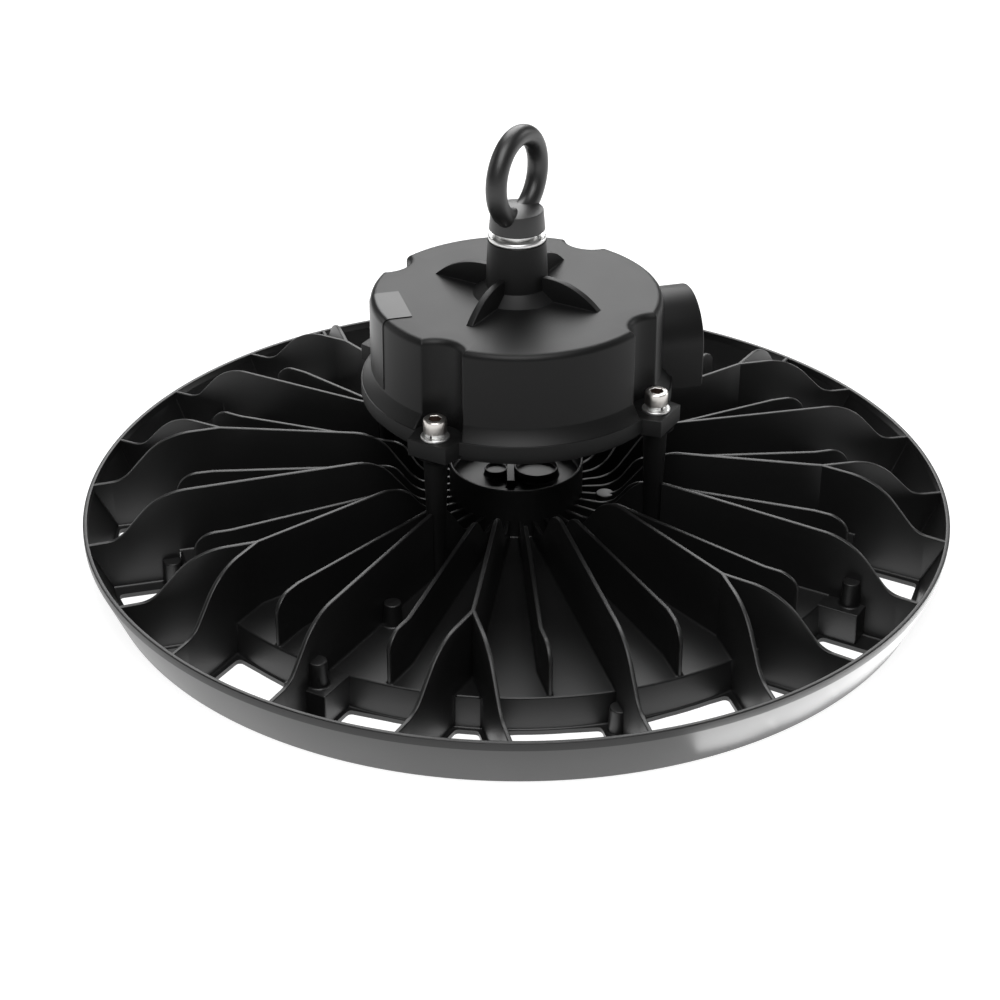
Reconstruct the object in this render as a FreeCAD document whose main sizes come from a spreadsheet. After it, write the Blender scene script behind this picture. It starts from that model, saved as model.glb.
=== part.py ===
import FreeCAD, Part
import math
import os
import re

import Sketcher

# High bay light: a round heatsink casting with a lens side below, a driver housing on four legs above
# it and a lifting eye on top. Millimetres, +Z up, origin at the centre of the bottom edge of the rim.

SIZES = {
    # how far a shape is sunk into its neighbour, and how far a cut runs past the solid
    "overlap": 1.0,
    "cut_run": 5.0,
    # legs and screws stand at the corners of a square
    "corner_count": 4,
    # rim and floor ring of the heatsink
    "rim_radius": 195.0,
    "rim_bottom_radius": 186.3,
    "rim_height": 24.9,
    "rim_lip": 3.7,
    "rim_wall": 2.0,
    "floor_thickness": 2.0,
    # raised platform that carries the light board below and the fins above
    "platform_radius": 153.7,
    "platform_draft": 0.9,
    "platform_top": 16.6,
    "platform_plate": 3.2,
    "lens_seat_radius": 151.2,
    "board_recess_radius": 146.0,
    "lens_seat_depth": 6.2,
    # open cup in the middle of the fins
    "cup_radius": 30.2,
    "cup_wall": 1.0,
    "cup_top": 40.4,
    "cup_floor": 32.2,
    "small_post_top": 35.7,
    "large_post_top": 36.7,
    "post_offset": 9.2,
    "small_post_radius": 5.15,
    "large_post_radius": 9.9,
    "small_recess_depth": 1.0,
    "large_recess_depth": 2.5,
    "post_rim": 0.6,
    "post_azimuth": -15.0,
    "cup_rib_place": -2.45,
    "cup_rib_half_width": 1.85,
    "cup_rib_reach": 12.1,
    "wire_hole_radius": 5.0,
    "wire_place": 20.0,
    # fins, counted around the full circle
    "fin_thickness": 1.9,
    "fin_repeats": 8,
    "fin_inner_radius": 29.7,
    "fork_radius": 137.0,
    "fork_spread": 6.56,
    "short_bend_radius": 136.8,
    "short_end_radius": 153.0,
    "short_bend_shift": 2.8,
    # crest line of the tall fins, as radius and height
    "crest_low": 25.0,
    "crest_rise_start": 45.2,
    "crest_rise_end": 63.8,
    "crest_peak": 48.8,
    "crest_shoulder_radius": 161.5,
    "crest_shoulder": 46.3,
    "crest_drop_end": 180.4,
    "crest_drop": 25.4,
    "crest_rim": 24.8,
    "crest_foot_round": 13.0,
    "crest_peak_round": 21.0,
    "crest_shoulder_round": 28.0,
    "crest_drop_round": 12.0,
    # crest line of the short fins
    "short_rise_start": 44.9,
    "short_rise_end": 55.0,
    "short_crest": 39.0,
    "short_crest_gap": 0.3,
    "short_peak_round": 10.0,
    "short_end_round": 9.5,
    # slots through the floor ring
    "slot_inner_radius": 156.5,
    "slot_outer_radius": 183.2,
    "slot_fin_margin": 7.5,
    "slot_block_margin": 11.4,
    "slot_arm_margin": 4.2,
    "slot_fork_margin": 3.2,
    "slot_round": 2.0,
    # blocks and pins cast beside the fins
    "block_half_width": 10.1,
    "block_end_radius": 171.0,
    "block_round": 0.8,
    "pin_radius": 4.0,
    "block_pin_radius": 164.3,
    "block_pin_offset": 2.75,
    "block_pin_top": 28.0,
    "floor_pin_radius": 4.5,
    "floor_pin_top": 13.0,
    "side_pin_place": 158.0,
    "side_pin_offset": 2.5,
    "end_pin_place": 159.6,
    "end_pin_offset": 0.9,
    "inner_pin_radius": 112.0,
    "inner_pin_offset": 4.6,
    "inner_pin_top": 26.9,
    "pad_place_radius": 40.7,
    "pad_radius": 4.4,
    "pad_top": 25.6,
    # driver housing
    "leg_place_radius": 68.8,
    "leg_top_radius": 5.3,
    "leg_foot_radius": 3.3,
    "leg_clearance": 0.1,
    "leg_screw_radius": 1.5,
    "leg_screw_depth": 10.0,
    "base_bottom": 74.0,
    "parting": 77.0,
    "base_radius": 66.0,
    "base_lug": 1.2,
    "gasket_inner_radius": 61.4,
    "gasket_outer_radius": 64.0,
    "gasket_depth": 1.4,
    "flange_radius": 68.7,
    "flange_top": 83.3,
    "band_radius": 68.1,
    "band_top_radius": 63.9,
    "band_top": 89.1,
    "cover_top_radius": 63.6,
    "cover_top": 122.9,
    "cover_round": 3.0,
    "cover_wall": 3.0,
    "cavity_radius": 60.2,
    "lug_reach": 76.0,
    "lug_half_width": 9.3,
    "lug_root_half_width": 12.4,
    "lug_root": 60.0,
    "scallop_radius": 11.5,
    "screw_hole_radius": 3.2,
    "screw_thread_radius": 3.0,
    "side_boss_reach": 80.1,
    "side_boss_half_width": 20.7,
    "side_boss_axis": 95.1,
    "side_boss_round": 20.6,
    "side_boss_start": 57.0,
    "entry_radius": 10.0,
    # lifting boss, ribs and eye
    "boss_skirt_radius": 19.1,
    "boss_foot_radius": 13.5,
    "boss_foot": 127.1,
    "boss_top_radius": 12.7,
    "boss_top": 147.9,
    "boss_bore": 5.2,
    "rib_thickness": 3.0,
    "rib_end_radius": 40.5,
    "rib_start_radius": 8.0,
    "rib_rise": 10.2,
    "rib_corner_radius": 29.8,
    "rib_round": 34.0,
    "eye_washer_radius": 12.45,
    "eye_washer_thickness": 2.0,
    "eye_lock_radius": 9.2,
    "eye_lock_thickness": 2.6,
    "eye_lock_gap": 1.6,
    "eye_lock_turn": 100.0,
    "eye_collar_radius": 12.15,
    "eye_collar_top_radius": 11.3,
    "eye_collar_height": 8.9,
    "eye_cone": 1.9,
    "eye_shank_radius": 5.0,
    "eye_shank_end": 109.9,
    "eye_ring_radius": 17.75,
    "eye_tube_radius": 4.5,
    "eye_ring_axis": 175.95,
    "eye_azimuth": 45.0,
    "eye_nut_flats": 17.0,
    "eye_nut_height": 8.0,
    # screws and washers of the cover
    "flat_washer_radius": 6.1,
    "flat_washer_thickness": 1.2,
    "lock_washer_radius": 4.4,
    "lock_washer_thickness": 1.8,
    "lock_washer_gap": 1.0,
    "socket_turn": 10.0,
    "head_radius": 5.0,
    "head_height": 6.0,
    "head_chamfer": 0.7,
    "socket_flats": 5.0,
    "socket_depth": 3.0,
    "cover_screw_length": 14.0,
    # blank plate on the cover
    "plate_glue": 0.1,
    "plate_thickness": 0.4,
    "plate_half_width": 13.2,
    "plate_inner_reach": 49.6,
    "plate_foot": 90.1,
    # driver block, gland and vent
    "driver_length": 84.0,
    "driver_width": 60.0,
    "driver_height": 24.0,
    "driver_round": 4.0,
    "gland_thread_radius": 6.0,
    "gland_bore_radius": 3.0,
    "gland_height": 10.0,
    "gland_nut_flats": 19.0,
    "gland_nut_height": 4.0,
    "vent_radius": 6.0,
    "vent_thread_radius": 4.0,
    "vent_height": 5.0,
    "vent_place_radius": 40.0,
    # light side
    "board_radius": 145.0,
    "board_hole_radius": 15.0,
    "board_thickness": 1.6,
    "led_size": 3.0,
    "led_height": 0.8,
    "led_first_ring": 30.0,
    "led_ring_step": 26.0,
    "leds_in_first_ring": 8,
    "lens_radius": 151.0,
    "lens_thickness": 3.0,
    "lens_gasket_thickness": 0.7,
    "lens_ring_inner_radius": 143.5,
    "lens_ring_thickness": 1.5,
    "lens_ring_screws": 12,
    "lens_ring_screw_place": 148.6,
    "small_screw_radius": 1.5,
    "small_head_radius": 2.0,
    "small_head_height": 1.0,
    "small_screw_length": 5.0,
    "leg_bolt_head_radius": 4.0,
    "leg_bolt_head_height": 1.2,
    "bolt_clearance": 0.6,
}

SECTOR = 45.0
QUARTER = 90.0
FULL_TURN = 360.0
CORNERS = 4
HEXAGON_SIDES = 6
LED_RINGS = 5
# where each split washer opens, measured from the direction of the axis
SPLIT_TURNS = (160.0, 150.0, -173.0, -209.0)

doc = FreeCAD.newDocument("high_bay_light")
sheet = doc.addObject("Spreadsheet::Sheet", "Sizes")
for row, (alias, size) in enumerate(SIZES.items(), start=1):
    sheet.set("A%d" % row, alias)
    sheet.set("B%d" % row, str(size))
    sheet.setAlias("B%d" % row, alias)
doc.recompute()

ALIASES = re.compile(r"\b(" + "|".join(SIZES) + r")\b")
pieces = []


def bound(text):
    """The expression with every size name pointing at its cell."""
    return ALIASES.sub(r"Sizes.\1", text)


def number(text):
    """The present value of an expression."""
    return float(sheet.evalExpression(bound(text)))


def new_body(label, is_piece=True):
    body = doc.addObject("PartDesign::Body", label)
    body.Label = label
    if is_piece:
        pieces.append(body)
    return body


def origin_item(body, role):
    return next(item for item in body.Origin.OriginFeatures if item.Role == role)


def new_sketch(body, name, role="XY_Plane", height=None, turn=None, across=None):
    """A sketch on one of the body's own planes, lifted, turned and moved by expressions."""
    sketch = body.newObject("Sketcher::SketchObject", name)
    sketch.AttachmentSupport = [(origin_item(body, role), "")]
    sketch.MapMode = "FlatFace"
    if height:
        sketch.setExpression("AttachmentOffset.Base.z", bound(height))
    if turn:
        sketch.setExpression("AttachmentOffset.Rotation.Yaw", bound(turn))
    if across:
        sketch.setExpression("AttachmentOffset.Base.x", bound(across))
    return sketch


def drive(sketch, kind, geometry, place, text):
    """One coordinate of a point, measured from the sketch origin and bound to the sheet."""
    item = sketch.addConstraint(Sketcher.Constraint(kind, -1, 1, geometry, place, number(text)))
    sketch.setExpression("Constraints[%d]" % item, bound(text))


def drive_radius(sketch, geometry, text):
    item = sketch.addConstraint(Sketcher.Constraint("Radius", geometry, number(text)))
    sketch.setExpression("Constraints[%d]" % item, bound(text))


def place_point(sketch, geometry, place, across, up):
    drive(sketch, "DistanceX", geometry, place, across)
    drive(sketch, "DistanceY", geometry, place, up)


def circle(sketch, across, up, radius):
    centre = FreeCAD.Vector(number(across), number(up), 0)
    ring = Part.Circle(centre, FreeCAD.Vector(0, 0, 1), number(radius))
    geometry = sketch.addGeometry(ring, False)
    place_point(sketch, geometry, 3, across, up)
    drive_radius(sketch, geometry, radius)


def rounded_corner(before, corner, after, radius):
    """Touching points, centre and turning side of an arc that rounds a corner."""
    incoming = (before - corner).normalize()
    outgoing = (after - corner).normalize()
    half = incoming.getAngle(outgoing) / 2
    reach = radius / math.tan(half)
    middle = (incoming + outgoing).normalize()
    centre = corner + middle * (radius / math.sin(half))
    left = (incoming * -1).cross(outgoing).z > 0
    return corner + incoming * reach, corner + outgoing * reach, centre, left


def outline(sketch, corners):
    """A closed outline. A corner is (across, up) or, where it is rounded, (across, up, radius)."""
    points = [FreeCAD.Vector(number(c[0]), number(c[1]), 0) for c in corners]
    count = len(corners)
    arrivals = list(points)
    departures = list(points)
    arcs = {}
    for index, corner in enumerate(corners):
        if len(corner) == 3:
            radius = number(corner[2])
            before = points[index - 1]
            after = points[(index + 1) % count]
            start, end, centre, left = rounded_corner(before, points[index], after, radius)
            arrivals[index] = start
            departures[index] = end
            arcs[index] = (centre, radius, left)
    lines = []
    for index in range(count):
        segment = Part.LineSegment(departures[index], arrivals[(index + 1) % count])
        lines.append(sketch.addGeometry(segment, False))
    for index, corner in enumerate(corners):
        line_in = lines[index - 1]
        line_out = lines[index]
        if index not in arcs:
            sketch.addConstraint(Sketcher.Constraint("Coincident", line_in, 2, line_out, 1))
            place_point(sketch, line_out, 1, corner[0], corner[1])
            continue
        centre, radius, left = arcs[index]
        first = arrivals[index] if left else departures[index]
        last = departures[index] if left else arrivals[index]
        start_angle = math.atan2(first.y - centre.y, first.x - centre.x)
        end_angle = math.atan2(last.y - centre.y, last.x - centre.x)
        ring = Part.Circle(centre, FreeCAD.Vector(0, 0, 1), radius)
        arc = sketch.addGeometry(Part.ArcOfCircle(ring, start_angle, end_angle), False)
        mark = sketch.addGeometry(Part.Point(points[index]), True)
        place_point(sketch, mark, 1, corner[0], corner[1])
        sketch.addConstraint(Sketcher.Constraint("PointOnObject", mark, 1, line_in))
        sketch.addConstraint(Sketcher.Constraint("PointOnObject", mark, 1, line_out))
        sketch.addConstraint(Sketcher.Constraint("Tangent", line_in, 2, arc, 1 if left else 2))
        sketch.addConstraint(Sketcher.Constraint("Tangent", line_out, 1, arc, 2 if left else 1))
        drive_radius(sketch, arc, corner[2])


def hexagon(sketch, flats):
    """A closed hexagon about the sketch origin with its flats this far apart."""
    reach = "(%s) / (2 * cos(%g))" % (flats, FULL_TURN / HEXAGON_SIDES / 2)
    corners = []
    for side in range(HEXAGON_SIDES):
        azimuth = FULL_TURN / HEXAGON_SIDES * side
        corners.append(("%s * cos(%g)" % (reach, azimuth), "%s * sin(%g)" % (reach, azimuth)))
    outline(sketch, corners)


def extrude(body, kind, sketch, name, length, reverse=False):
    feature = body.newObject("PartDesign::" + kind, name)
    feature.Profile = sketch
    feature.Refine = False
    feature.Reversed = reverse
    feature.setExpression("Length", bound(length))
    return feature


def pad(body, sketch, name, length):
    return extrude(body, "Pad", sketch, name, length)


def pocket(body, sketch, name, length):
    """Cut along +Z from the sketch, the way its own pads grow."""
    return extrude(body, "Pocket", sketch, name, length, reverse=True)


def turn_about(body, kind, sketch, name):
    feature = body.newObject("PartDesign::" + kind, name)
    feature.Profile = sketch
    feature.Refine = False
    feature.ReferenceAxis = (sketch, ["V_Axis"])
    feature.Angle = FULL_TURN
    return feature


def revolve(body, sketch, name):
    return turn_about(body, "Revolution", sketch, name)


def groove(body, sketch, name):
    return turn_about(body, "Groove", sketch, name)


def repeat(body, features, name, count):
    """The features again, evenly around the vertical axis."""
    pattern = body.newObject("PartDesign::PolarPattern", name)
    pattern.Originals = features
    pattern.Refine = False
    pattern.Axis = (origin_item(body, "Z_Axis"), [""])
    pattern.Angle = FULL_TURN
    pattern.setExpression("Occurrences", bound(count))
    body.Tip = pattern
    return pattern


def place(body, across, along, up, turn=None):
    """Put a body made at its own origin where it belongs."""
    body.setExpression("Placement.Base.x", bound(across))
    body.setExpression("Placement.Base.y", bound(along))
    body.setExpression("Placement.Base.z", bound(up))
    if turn:
        body.setExpression("Placement.Rotation.Yaw", bound(turn))


def washer(label, outer, inner, thickness):
    body = new_body(label)
    sketch = new_sketch(body, label + "_ring")
    circle(sketch, "0", "0", outer)
    circle(sketch, "0", "0", inner)
    pad(body, sketch, label + "_thickness", thickness)
    return body


def split_washer(label, outer, inner, thickness, gap):
    body = washer(label, outer, inner, thickness)
    sketch = new_sketch(body, label + "_split")
    outline(sketch, [("0", "-(%s) / 2" % gap), ("2 * (%s)" % outer, "-(%s) / 2" % gap),
                     ("2 * (%s)" % outer, "(%s) / 2" % gap), ("0", "(%s) / 2" % gap)])
    pocket(body, sketch, label + "_opening", thickness)
    return body


# Fins of the heatsink: eight single fins and eight forks reach the rim, sixteen short fins stay inside
fin_field = new_body("fin_field", is_piece=False)
MID_WALL = "(rim_radius - rim_wall / 2)"
MID_WALL_FOOT = "(rim_bottom_radius - rim_wall / 2)"
LIP_FOOT = "(rim_height - rim_lip)"
HALF_FIN = "(fin_thickness / 2)"
ARM_RUN = "(%s * cos(fork_spread) - fork_radius)" % MID_WALL
ARM_RISE = "(%s * sin(fork_spread))" % MID_WALL
ARM_TURN = "atan(%s / %s)" % (ARM_RISE, ARM_RUN)
FIN_FOOT = "(platform_top - overlap)"
PLATFORM_MID_WALL = "(platform_radius + lens_seat_radius) / 2"
CUP_MID_WALL = "(cup_radius - cup_wall / 2)"
HUB_HOLLOW = "(cup_radius - cup_wall - platform_plate)"


def ring_plan(body, name, outer, inner, height):
    sketch = new_sketch(body, name, "XY_Plane", height)
    circle(sketch, "0", "0", outer)
    circle(sketch, "0", "0", inner)
    return sketch


def short_fin(name, azimuth, side):
    """A short fin with its outer end bent away from the trunk of the fork."""
    reach = "(short_end_radius - short_bend_radius)"
    turn = "atan(short_bend_shift / %s)" % reach
    inset = "%s * tan(%s / 2)" % (HALF_FIN, turn)
    corners = [
        ("fin_inner_radius", "-%s" % HALF_FIN),
        ("short_bend_radius - %s" % inset, "-%s" % HALF_FIN),
        ("short_end_radius", "-(short_bend_shift + %s / cos(%s))" % (HALF_FIN, turn)),
        ("short_end_radius", "-(short_bend_shift - %s / cos(%s))" % (HALF_FIN, turn)),
        ("short_bend_radius + %s" % inset, HALF_FIN),
        ("fin_inner_radius", HALF_FIN),
    ]
    if side < 0:
        corners = [(along, "-(%s)" % across) for along, across in reversed(corners)]
    sketch = new_sketch(fin_field, name + "_plan", "XY_Plane", FIN_FOOT, "%g" % azimuth)
    outline(sketch, corners)
    return pad(fin_field, sketch, name, "short_crest - platform_top + 2 * overlap")


hub = ring_plan(fin_field, "hub_plan", "cup_radius", "cup_radius - cup_wall", FIN_FOOT)
pad(fin_field, hub, "cup_wall_ring", "cup_top - platform_top + overlap")
short_fins = [
    short_fin("short_fin_after_single", SECTOR / 4, 1),
    short_fin("short_fin_before_single", SECTOR * 3 / 4, -1),
]
repeat(fin_field, short_fins, "short_fins", "fin_repeats")

above_short = new_sketch(fin_field, "above_short_fins", "XZ_Plane")
outline(above_short, [
    ("cup_radius", "crest_low"),
    ("short_rise_start", "crest_low", "crest_foot_round"),
    ("short_rise_end", "short_crest", "short_peak_round"),
    ("short_end_radius + short_crest_gap", "short_crest", "short_end_round"),
    ("short_end_radius + short_crest_gap", "platform_top + short_crest_gap"),
    ("short_end_radius + cut_run", "platform_top + short_crest_gap"),
    ("short_end_radius + cut_run", "cup_top + cut_run"),
    ("cup_radius", "cup_top + cut_run"),
])
groove(fin_field, above_short, "short_fin_crests")

single_plan = new_sketch(fin_field, "single_fin_plan")
outline(single_plan, [
    ("fin_inner_radius", "-%s" % HALF_FIN),
    (MID_WALL, "-%s" % HALF_FIN),
    (MID_WALL, HALF_FIN),
    ("fin_inner_radius", HALF_FIN),
])
single_fin = pad(fin_field, single_plan, "single_fin", "crest_peak + overlap")
ARM_END = "(fork_radius + %s)" % ARM_RUN
ARM_SIDE = "%s * sin(%s)" % (HALF_FIN, ARM_TURN)
ARM_FACE = "%s * cos(%s)" % (HALF_FIN, ARM_TURN)
TRUNK_END = "fork_radius - %s * tan(%s / 2)" % (HALF_FIN, ARM_TURN)
fork_plan = new_sketch(fin_field, "fork_plan", "XY_Plane", None, "%g" % (SECTOR / 2))
outline(fork_plan, [
    ("fin_inner_radius", "-%s" % HALF_FIN),
    (TRUNK_END, "-%s" % HALF_FIN),
    ("%s - %s" % (ARM_END, ARM_SIDE), "-(%s + %s)" % (ARM_RISE, ARM_FACE)),
    ("%s + %s" % (ARM_END, ARM_SIDE), "-(%s - %s)" % (ARM_RISE, ARM_FACE)),
    ("fork_radius + %s / sin(%s)" % (HALF_FIN, ARM_TURN), "0"),
    ("%s + %s" % (ARM_END, ARM_SIDE), "%s - %s" % (ARM_RISE, ARM_FACE)),
    ("%s - %s" % (ARM_END, ARM_SIDE), "%s + %s" % (ARM_RISE, ARM_FACE)),
    (TRUNK_END, HALF_FIN),
    ("fin_inner_radius", HALF_FIN),
])
fork_fin = pad(fin_field, fork_plan, "fork_fin", "crest_peak + overlap")
repeat(fin_field, [single_fin, fork_fin], "tall_fins", "fin_repeats")

around_tall = new_sketch(fin_field, "around_tall_fins", "XZ_Plane")
outline(around_tall, [
    ("cup_radius", "crest_low"),
    ("crest_rise_start", "crest_low", "crest_foot_round"),
    ("crest_rise_end", "crest_peak", "crest_peak_round"),
    ("crest_shoulder_radius", "crest_shoulder", "crest_shoulder_round"),
    ("crest_drop_end", "crest_drop", "crest_drop_round"),
    (MID_WALL, "crest_rim"),
    (MID_WALL, LIP_FOOT),
    (MID_WALL_FOOT, "0"),
    (MID_WALL_FOOT, "-overlap"),
    ("rim_radius + cut_run", "-overlap"),
    ("rim_radius + cut_run", "crest_peak + cut_run"),
    ("cup_radius - cup_wall - overlap", "crest_peak + cut_run"),
    ("cup_radius - cup_wall - overlap", "cup_top"),
    ("cup_radius", "cup_top"),
])
outline(around_tall, [
    ("cup_radius - cup_wall - overlap", "-overlap"),
    (PLATFORM_MID_WALL, "-overlap"),
    (PLATFORM_MID_WALL, FIN_FOOT),
    ("cup_radius - cup_wall - overlap", FIN_FOOT),
])
groove(fin_field, around_tall, "crests_and_feet")


def leg_cone(body, kind, name, clearance, height):
    """A cone that narrows downwards on the axis of a leg."""
    cone = body.newObject("PartDesign::" + kind, name)
    cone.Refine = False
    cone.setExpression("Radius1", bound("leg_foot_radius + %s" % clearance))
    cone.setExpression("Radius2", bound("leg_top_radius + %s" % clearance))
    cone.setExpression("Height", bound(height))
    cone.AttachmentSupport = [(origin_item(body, "XY_Plane"), "")]
    cone.MapMode = "FlatFace"
    cone.setExpression("AttachmentOffset.Base.x", bound("leg_place_radius * cos(%g)" % SECTOR))
    cone.setExpression("AttachmentOffset.Base.y", bound("leg_place_radius * sin(%g)" % SECTOR))
    cone.setExpression("AttachmentOffset.Base.z", bound("platform_top"))
    return cone


LEG_HEIGHT = "parting - base_lug / 2 - platform_top"
leg_seat = leg_cone(fin_field, "SubtractiveCone", "leg_seat", "leg_clearance", LEG_HEIGHT)
bolt_way_plan = new_sketch(fin_field, "bolt_way_plan", "XY_Plane", "%s - overlap" % FIN_FOOT, "%g" % SECTOR)
circle(bolt_way_plan, "leg_place_radius", "0", "leg_screw_radius")
bolt_way = pocket(fin_field, bolt_way_plan, "bolt_way", "3 * overlap")
repeat(fin_field, [leg_seat, bolt_way], "leg_seats", "corner_count")

# Dish of the heatsink: platform, floor ring with slots, rim, cup fittings, blocks and pins
dish = new_body("dish", is_piece=False)
dish_section = new_sketch(dish, "dish_section", "XZ_Plane")
outline(dish_section, [
    ("0", "cup_floor - platform_plate"),
    (HUB_HOLLOW, "cup_floor - platform_plate"),
    (HUB_HOLLOW, "platform_top - platform_plate"),
    ("board_recess_radius", "platform_top - platform_plate"),
    ("board_recess_radius", "lens_seat_depth"),
    ("lens_seat_radius", "lens_seat_depth"),
    ("lens_seat_radius", "0"),
    ("rim_bottom_radius", "0"),
    ("rim_radius", LIP_FOOT),
    ("rim_radius", "rim_height"),
    ("rim_radius - rim_wall", "rim_height"),
    ("rim_radius - rim_wall", LIP_FOOT),
    ("rim_bottom_radius - rim_wall", "floor_thickness"),
    ("platform_radius + platform_draft", "floor_thickness"),
    ("platform_radius", "platform_top"),
    (CUP_MID_WALL, "platform_top"),
    (CUP_MID_WALL, "cup_floor"),
    ("0", "cup_floor"),
])
revolve(dish, dish_section, "dish_body")


def side_slot(name, turn, side, margin):
    """A slot through the floor between a single fin and the nearer arm of a fork."""
    beside_fin = "%d * (%s)" % (side, margin)
    corners = [("slot_inner_radius", beside_fin), ("slot_outer_radius", beside_fin)]
    for radius in ("slot_outer_radius", "slot_inner_radius"):
        run = "(%s * cos(fork_spread) - fork_radius)" % radius
        spread = "(%s * %s / %s + slot_arm_margin)" % (ARM_RISE, run, ARM_RUN)
        angle = "(%g deg - asin(%s / %s))" % (SECTOR / 2, spread, radius)
        corners.append(("%s * cos(%s)" % (radius, angle), "%d * %s * sin(%s)" % (side, radius, angle)))
    if side < 0:
        corners.reverse()
    sketch = new_sketch(dish, name + "_plan", "XY_Plane", "-overlap", turn)
    outline(sketch, [corner + ("slot_round",) for corner in corners])
    return pocket(dish, sketch, name, "floor_thickness + 2 * overlap")


def fork_slot(name, turn):
    """A slot through the floor between the two arms of a fork."""
    corners = []
    for radius, side in (("slot_inner_radius", -1), ("slot_outer_radius", -1),
                         ("slot_outer_radius", 1), ("slot_inner_radius", 1)):
        spread = "(%s * (%s - fork_radius) / %s - slot_fork_margin)" % (ARM_RISE, radius, ARM_RUN)
        corners.append((radius, "%d * %s" % (side, spread), "slot_round"))
    sketch = new_sketch(dish, name + "_plan", "XY_Plane", "-overlap", turn)
    outline(sketch, corners)
    return pocket(dish, sketch, name, "floor_thickness + 2 * overlap")


slots = [
    side_slot("slot_after_single", "0", 1, "slot_fin_margin"),
    fork_slot("slot_in_first_fork", "%g" % (SECTOR / 2)),
    side_slot("slot_before_block", "%g" % SECTOR, -1, "slot_block_margin"),
    side_slot("slot_after_block", "%g" % SECTOR, 1, "slot_block_margin"),
    fork_slot("slot_in_second_fork", "%g" % (SECTOR * 3 / 2)),
    side_slot("slot_before_single", "%g" % QUARTER, -1, "slot_fin_margin"),
]
repeat(dish, slots, "slots", "corner_count")


def round_boss(name, turn, along, across, radius, foot, top):
    """A round boss cast onto the dish, sunk a little into what it stands on."""
    sketch = new_sketch(dish, name + "_plan", "XY_Plane", "%s - overlap" % foot, turn)
    circle(sketch, along, across, radius)
    return pad(dish, sketch, name, "%s - %s + overlap" % (top, foot))


def hollow_post(name, side, radius, top, recess):
    """A round post in the cup with a recess in its top."""
    along = "%d * post_offset" % side
    round_boss(name, "post_azimuth", along, "0", radius, "cup_floor", top)
    sketch = new_sketch(dish, name + "_recess_plan", "XY_Plane", "%s - %s" % (top, recess),
                        "post_azimuth")
    circle(sketch, along, "0", "%s - post_rim" % radius)
    pocket(dish, sketch, name + "_recess", "%s + overlap" % recess)


rib_plan = new_sketch(dish, "cup_rib_plan", "XY_Plane", "cup_floor - overlap", "post_azimuth")
outline(rib_plan, [
    ("cup_rib_place - cup_rib_half_width", "-cup_rib_reach"),
    ("cup_rib_place + cup_rib_half_width", "-cup_rib_reach"),
    ("cup_rib_place + cup_rib_half_width", "cup_rib_reach"),
    ("cup_rib_place - cup_rib_half_width", "cup_rib_reach"),
])
pad(dish, rib_plan, "cup_rib", "small_post_top - cup_floor + overlap")
hollow_post("small_post", -1, "small_post_radius", "small_post_top", "small_recess_depth")
hollow_post("large_post", 1, "large_post_radius", "large_post_top", "large_recess_depth")
wire_plan = new_sketch(dish, "wire_plan", "XY_Plane", "cup_floor - platform_plate - overlap",
                       "post_azimuth")
circle(wire_plan, "0", "wire_place", "wire_hole_radius")
pocket(dish, wire_plan, "wire_hole", "platform_plate + 2 * overlap")
round_boss("trunk_pad", "%g" % (-SECTOR / 2), "pad_place_radius", "0", "pad_radius",
           "platform_top", "pad_top")

block_plan = new_sketch(dish, "block_plan", "XY_Plane", None, "%g" % SECTOR)
outline(block_plan, [
    (PLATFORM_MID_WALL, "-block_half_width"),
    ("block_end_radius", "-block_half_width", "block_round"),
    ("block_end_radius", "block_half_width", "block_round"),
    (PLATFORM_MID_WALL, "block_half_width"),
])
leg_corner = [
    pad(dish, block_plan, "leg_block", "platform_top"),
    round_boss("inner_pin", "%g" % SECTOR, "inner_pin_radius", "inner_pin_offset", "pin_radius",
               "platform_top", "inner_pin_top"),
    round_boss("next_inner_pin", "0", "inner_pin_radius", "inner_pin_offset", "pin_radius",
               "platform_top", "inner_pin_top"),
]
repeat(dish, leg_corner, "blocks_and_pins", "corner_count")
for turn in (0, 2 * QUARTER):
    for corner, side in ((SECTOR, 1), (SECTOR + QUARTER, -1)):
        azimuth = corner - turn
        round_boss("block_pin_%d" % (azimuth % FULL_TURN), "%g" % azimuth, "block_pin_radius",
                   "%d * block_pin_offset" % side, "pin_radius", "platform_top", "block_pin_top")
    round_boss("side_pin_%d" % turn, "%g" % turn, "side_pin_place", "side_pin_offset",
               "floor_pin_radius", "floor_thickness", "floor_pin_top")
    round_boss("end_pin_%d" % turn, "%g" % (QUARTER - turn), "end_pin_place", "-end_pin_offset",
               "floor_pin_radius", "floor_thickness", "floor_pin_top")

leg_bolt_plan = new_sketch(dish, "leg_bolt_plan", "XY_Plane", "platform_top - platform_plate - overlap",
                           "%g" % SECTOR)
circle(leg_bolt_plan, "leg_place_radius", "0", "leg_screw_radius")
leg_bolt_hole = pocket(dish, leg_bolt_plan, "leg_bolt_hole", "platform_plate + 2 * overlap")
repeat(dish, [leg_bolt_hole], "leg_bolt_holes", "corner_count")
ring_screw_plan = new_sketch(dish, "ring_screw_plan", "XY_Plane", "lens_seat_depth - overlap")
circle(ring_screw_plan, "lens_ring_screw_place", "0", "small_screw_radius")
ring_screw_hole = pocket(dish, ring_screw_plan, "ring_screw_hole", "small_screw_length + overlap")
repeat(dish, [ring_screw_hole], "ring_screw_holes", "lens_ring_screws")

# The heatsink is one casting of dish and fins
heatsink = doc.addObject("Part::Fuse", "heatsink")
heatsink.Label = "heatsink"
heatsink.Base = dish
heatsink.Tool = fin_field
heatsink.Refine = False
pieces.append(heatsink)


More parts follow.
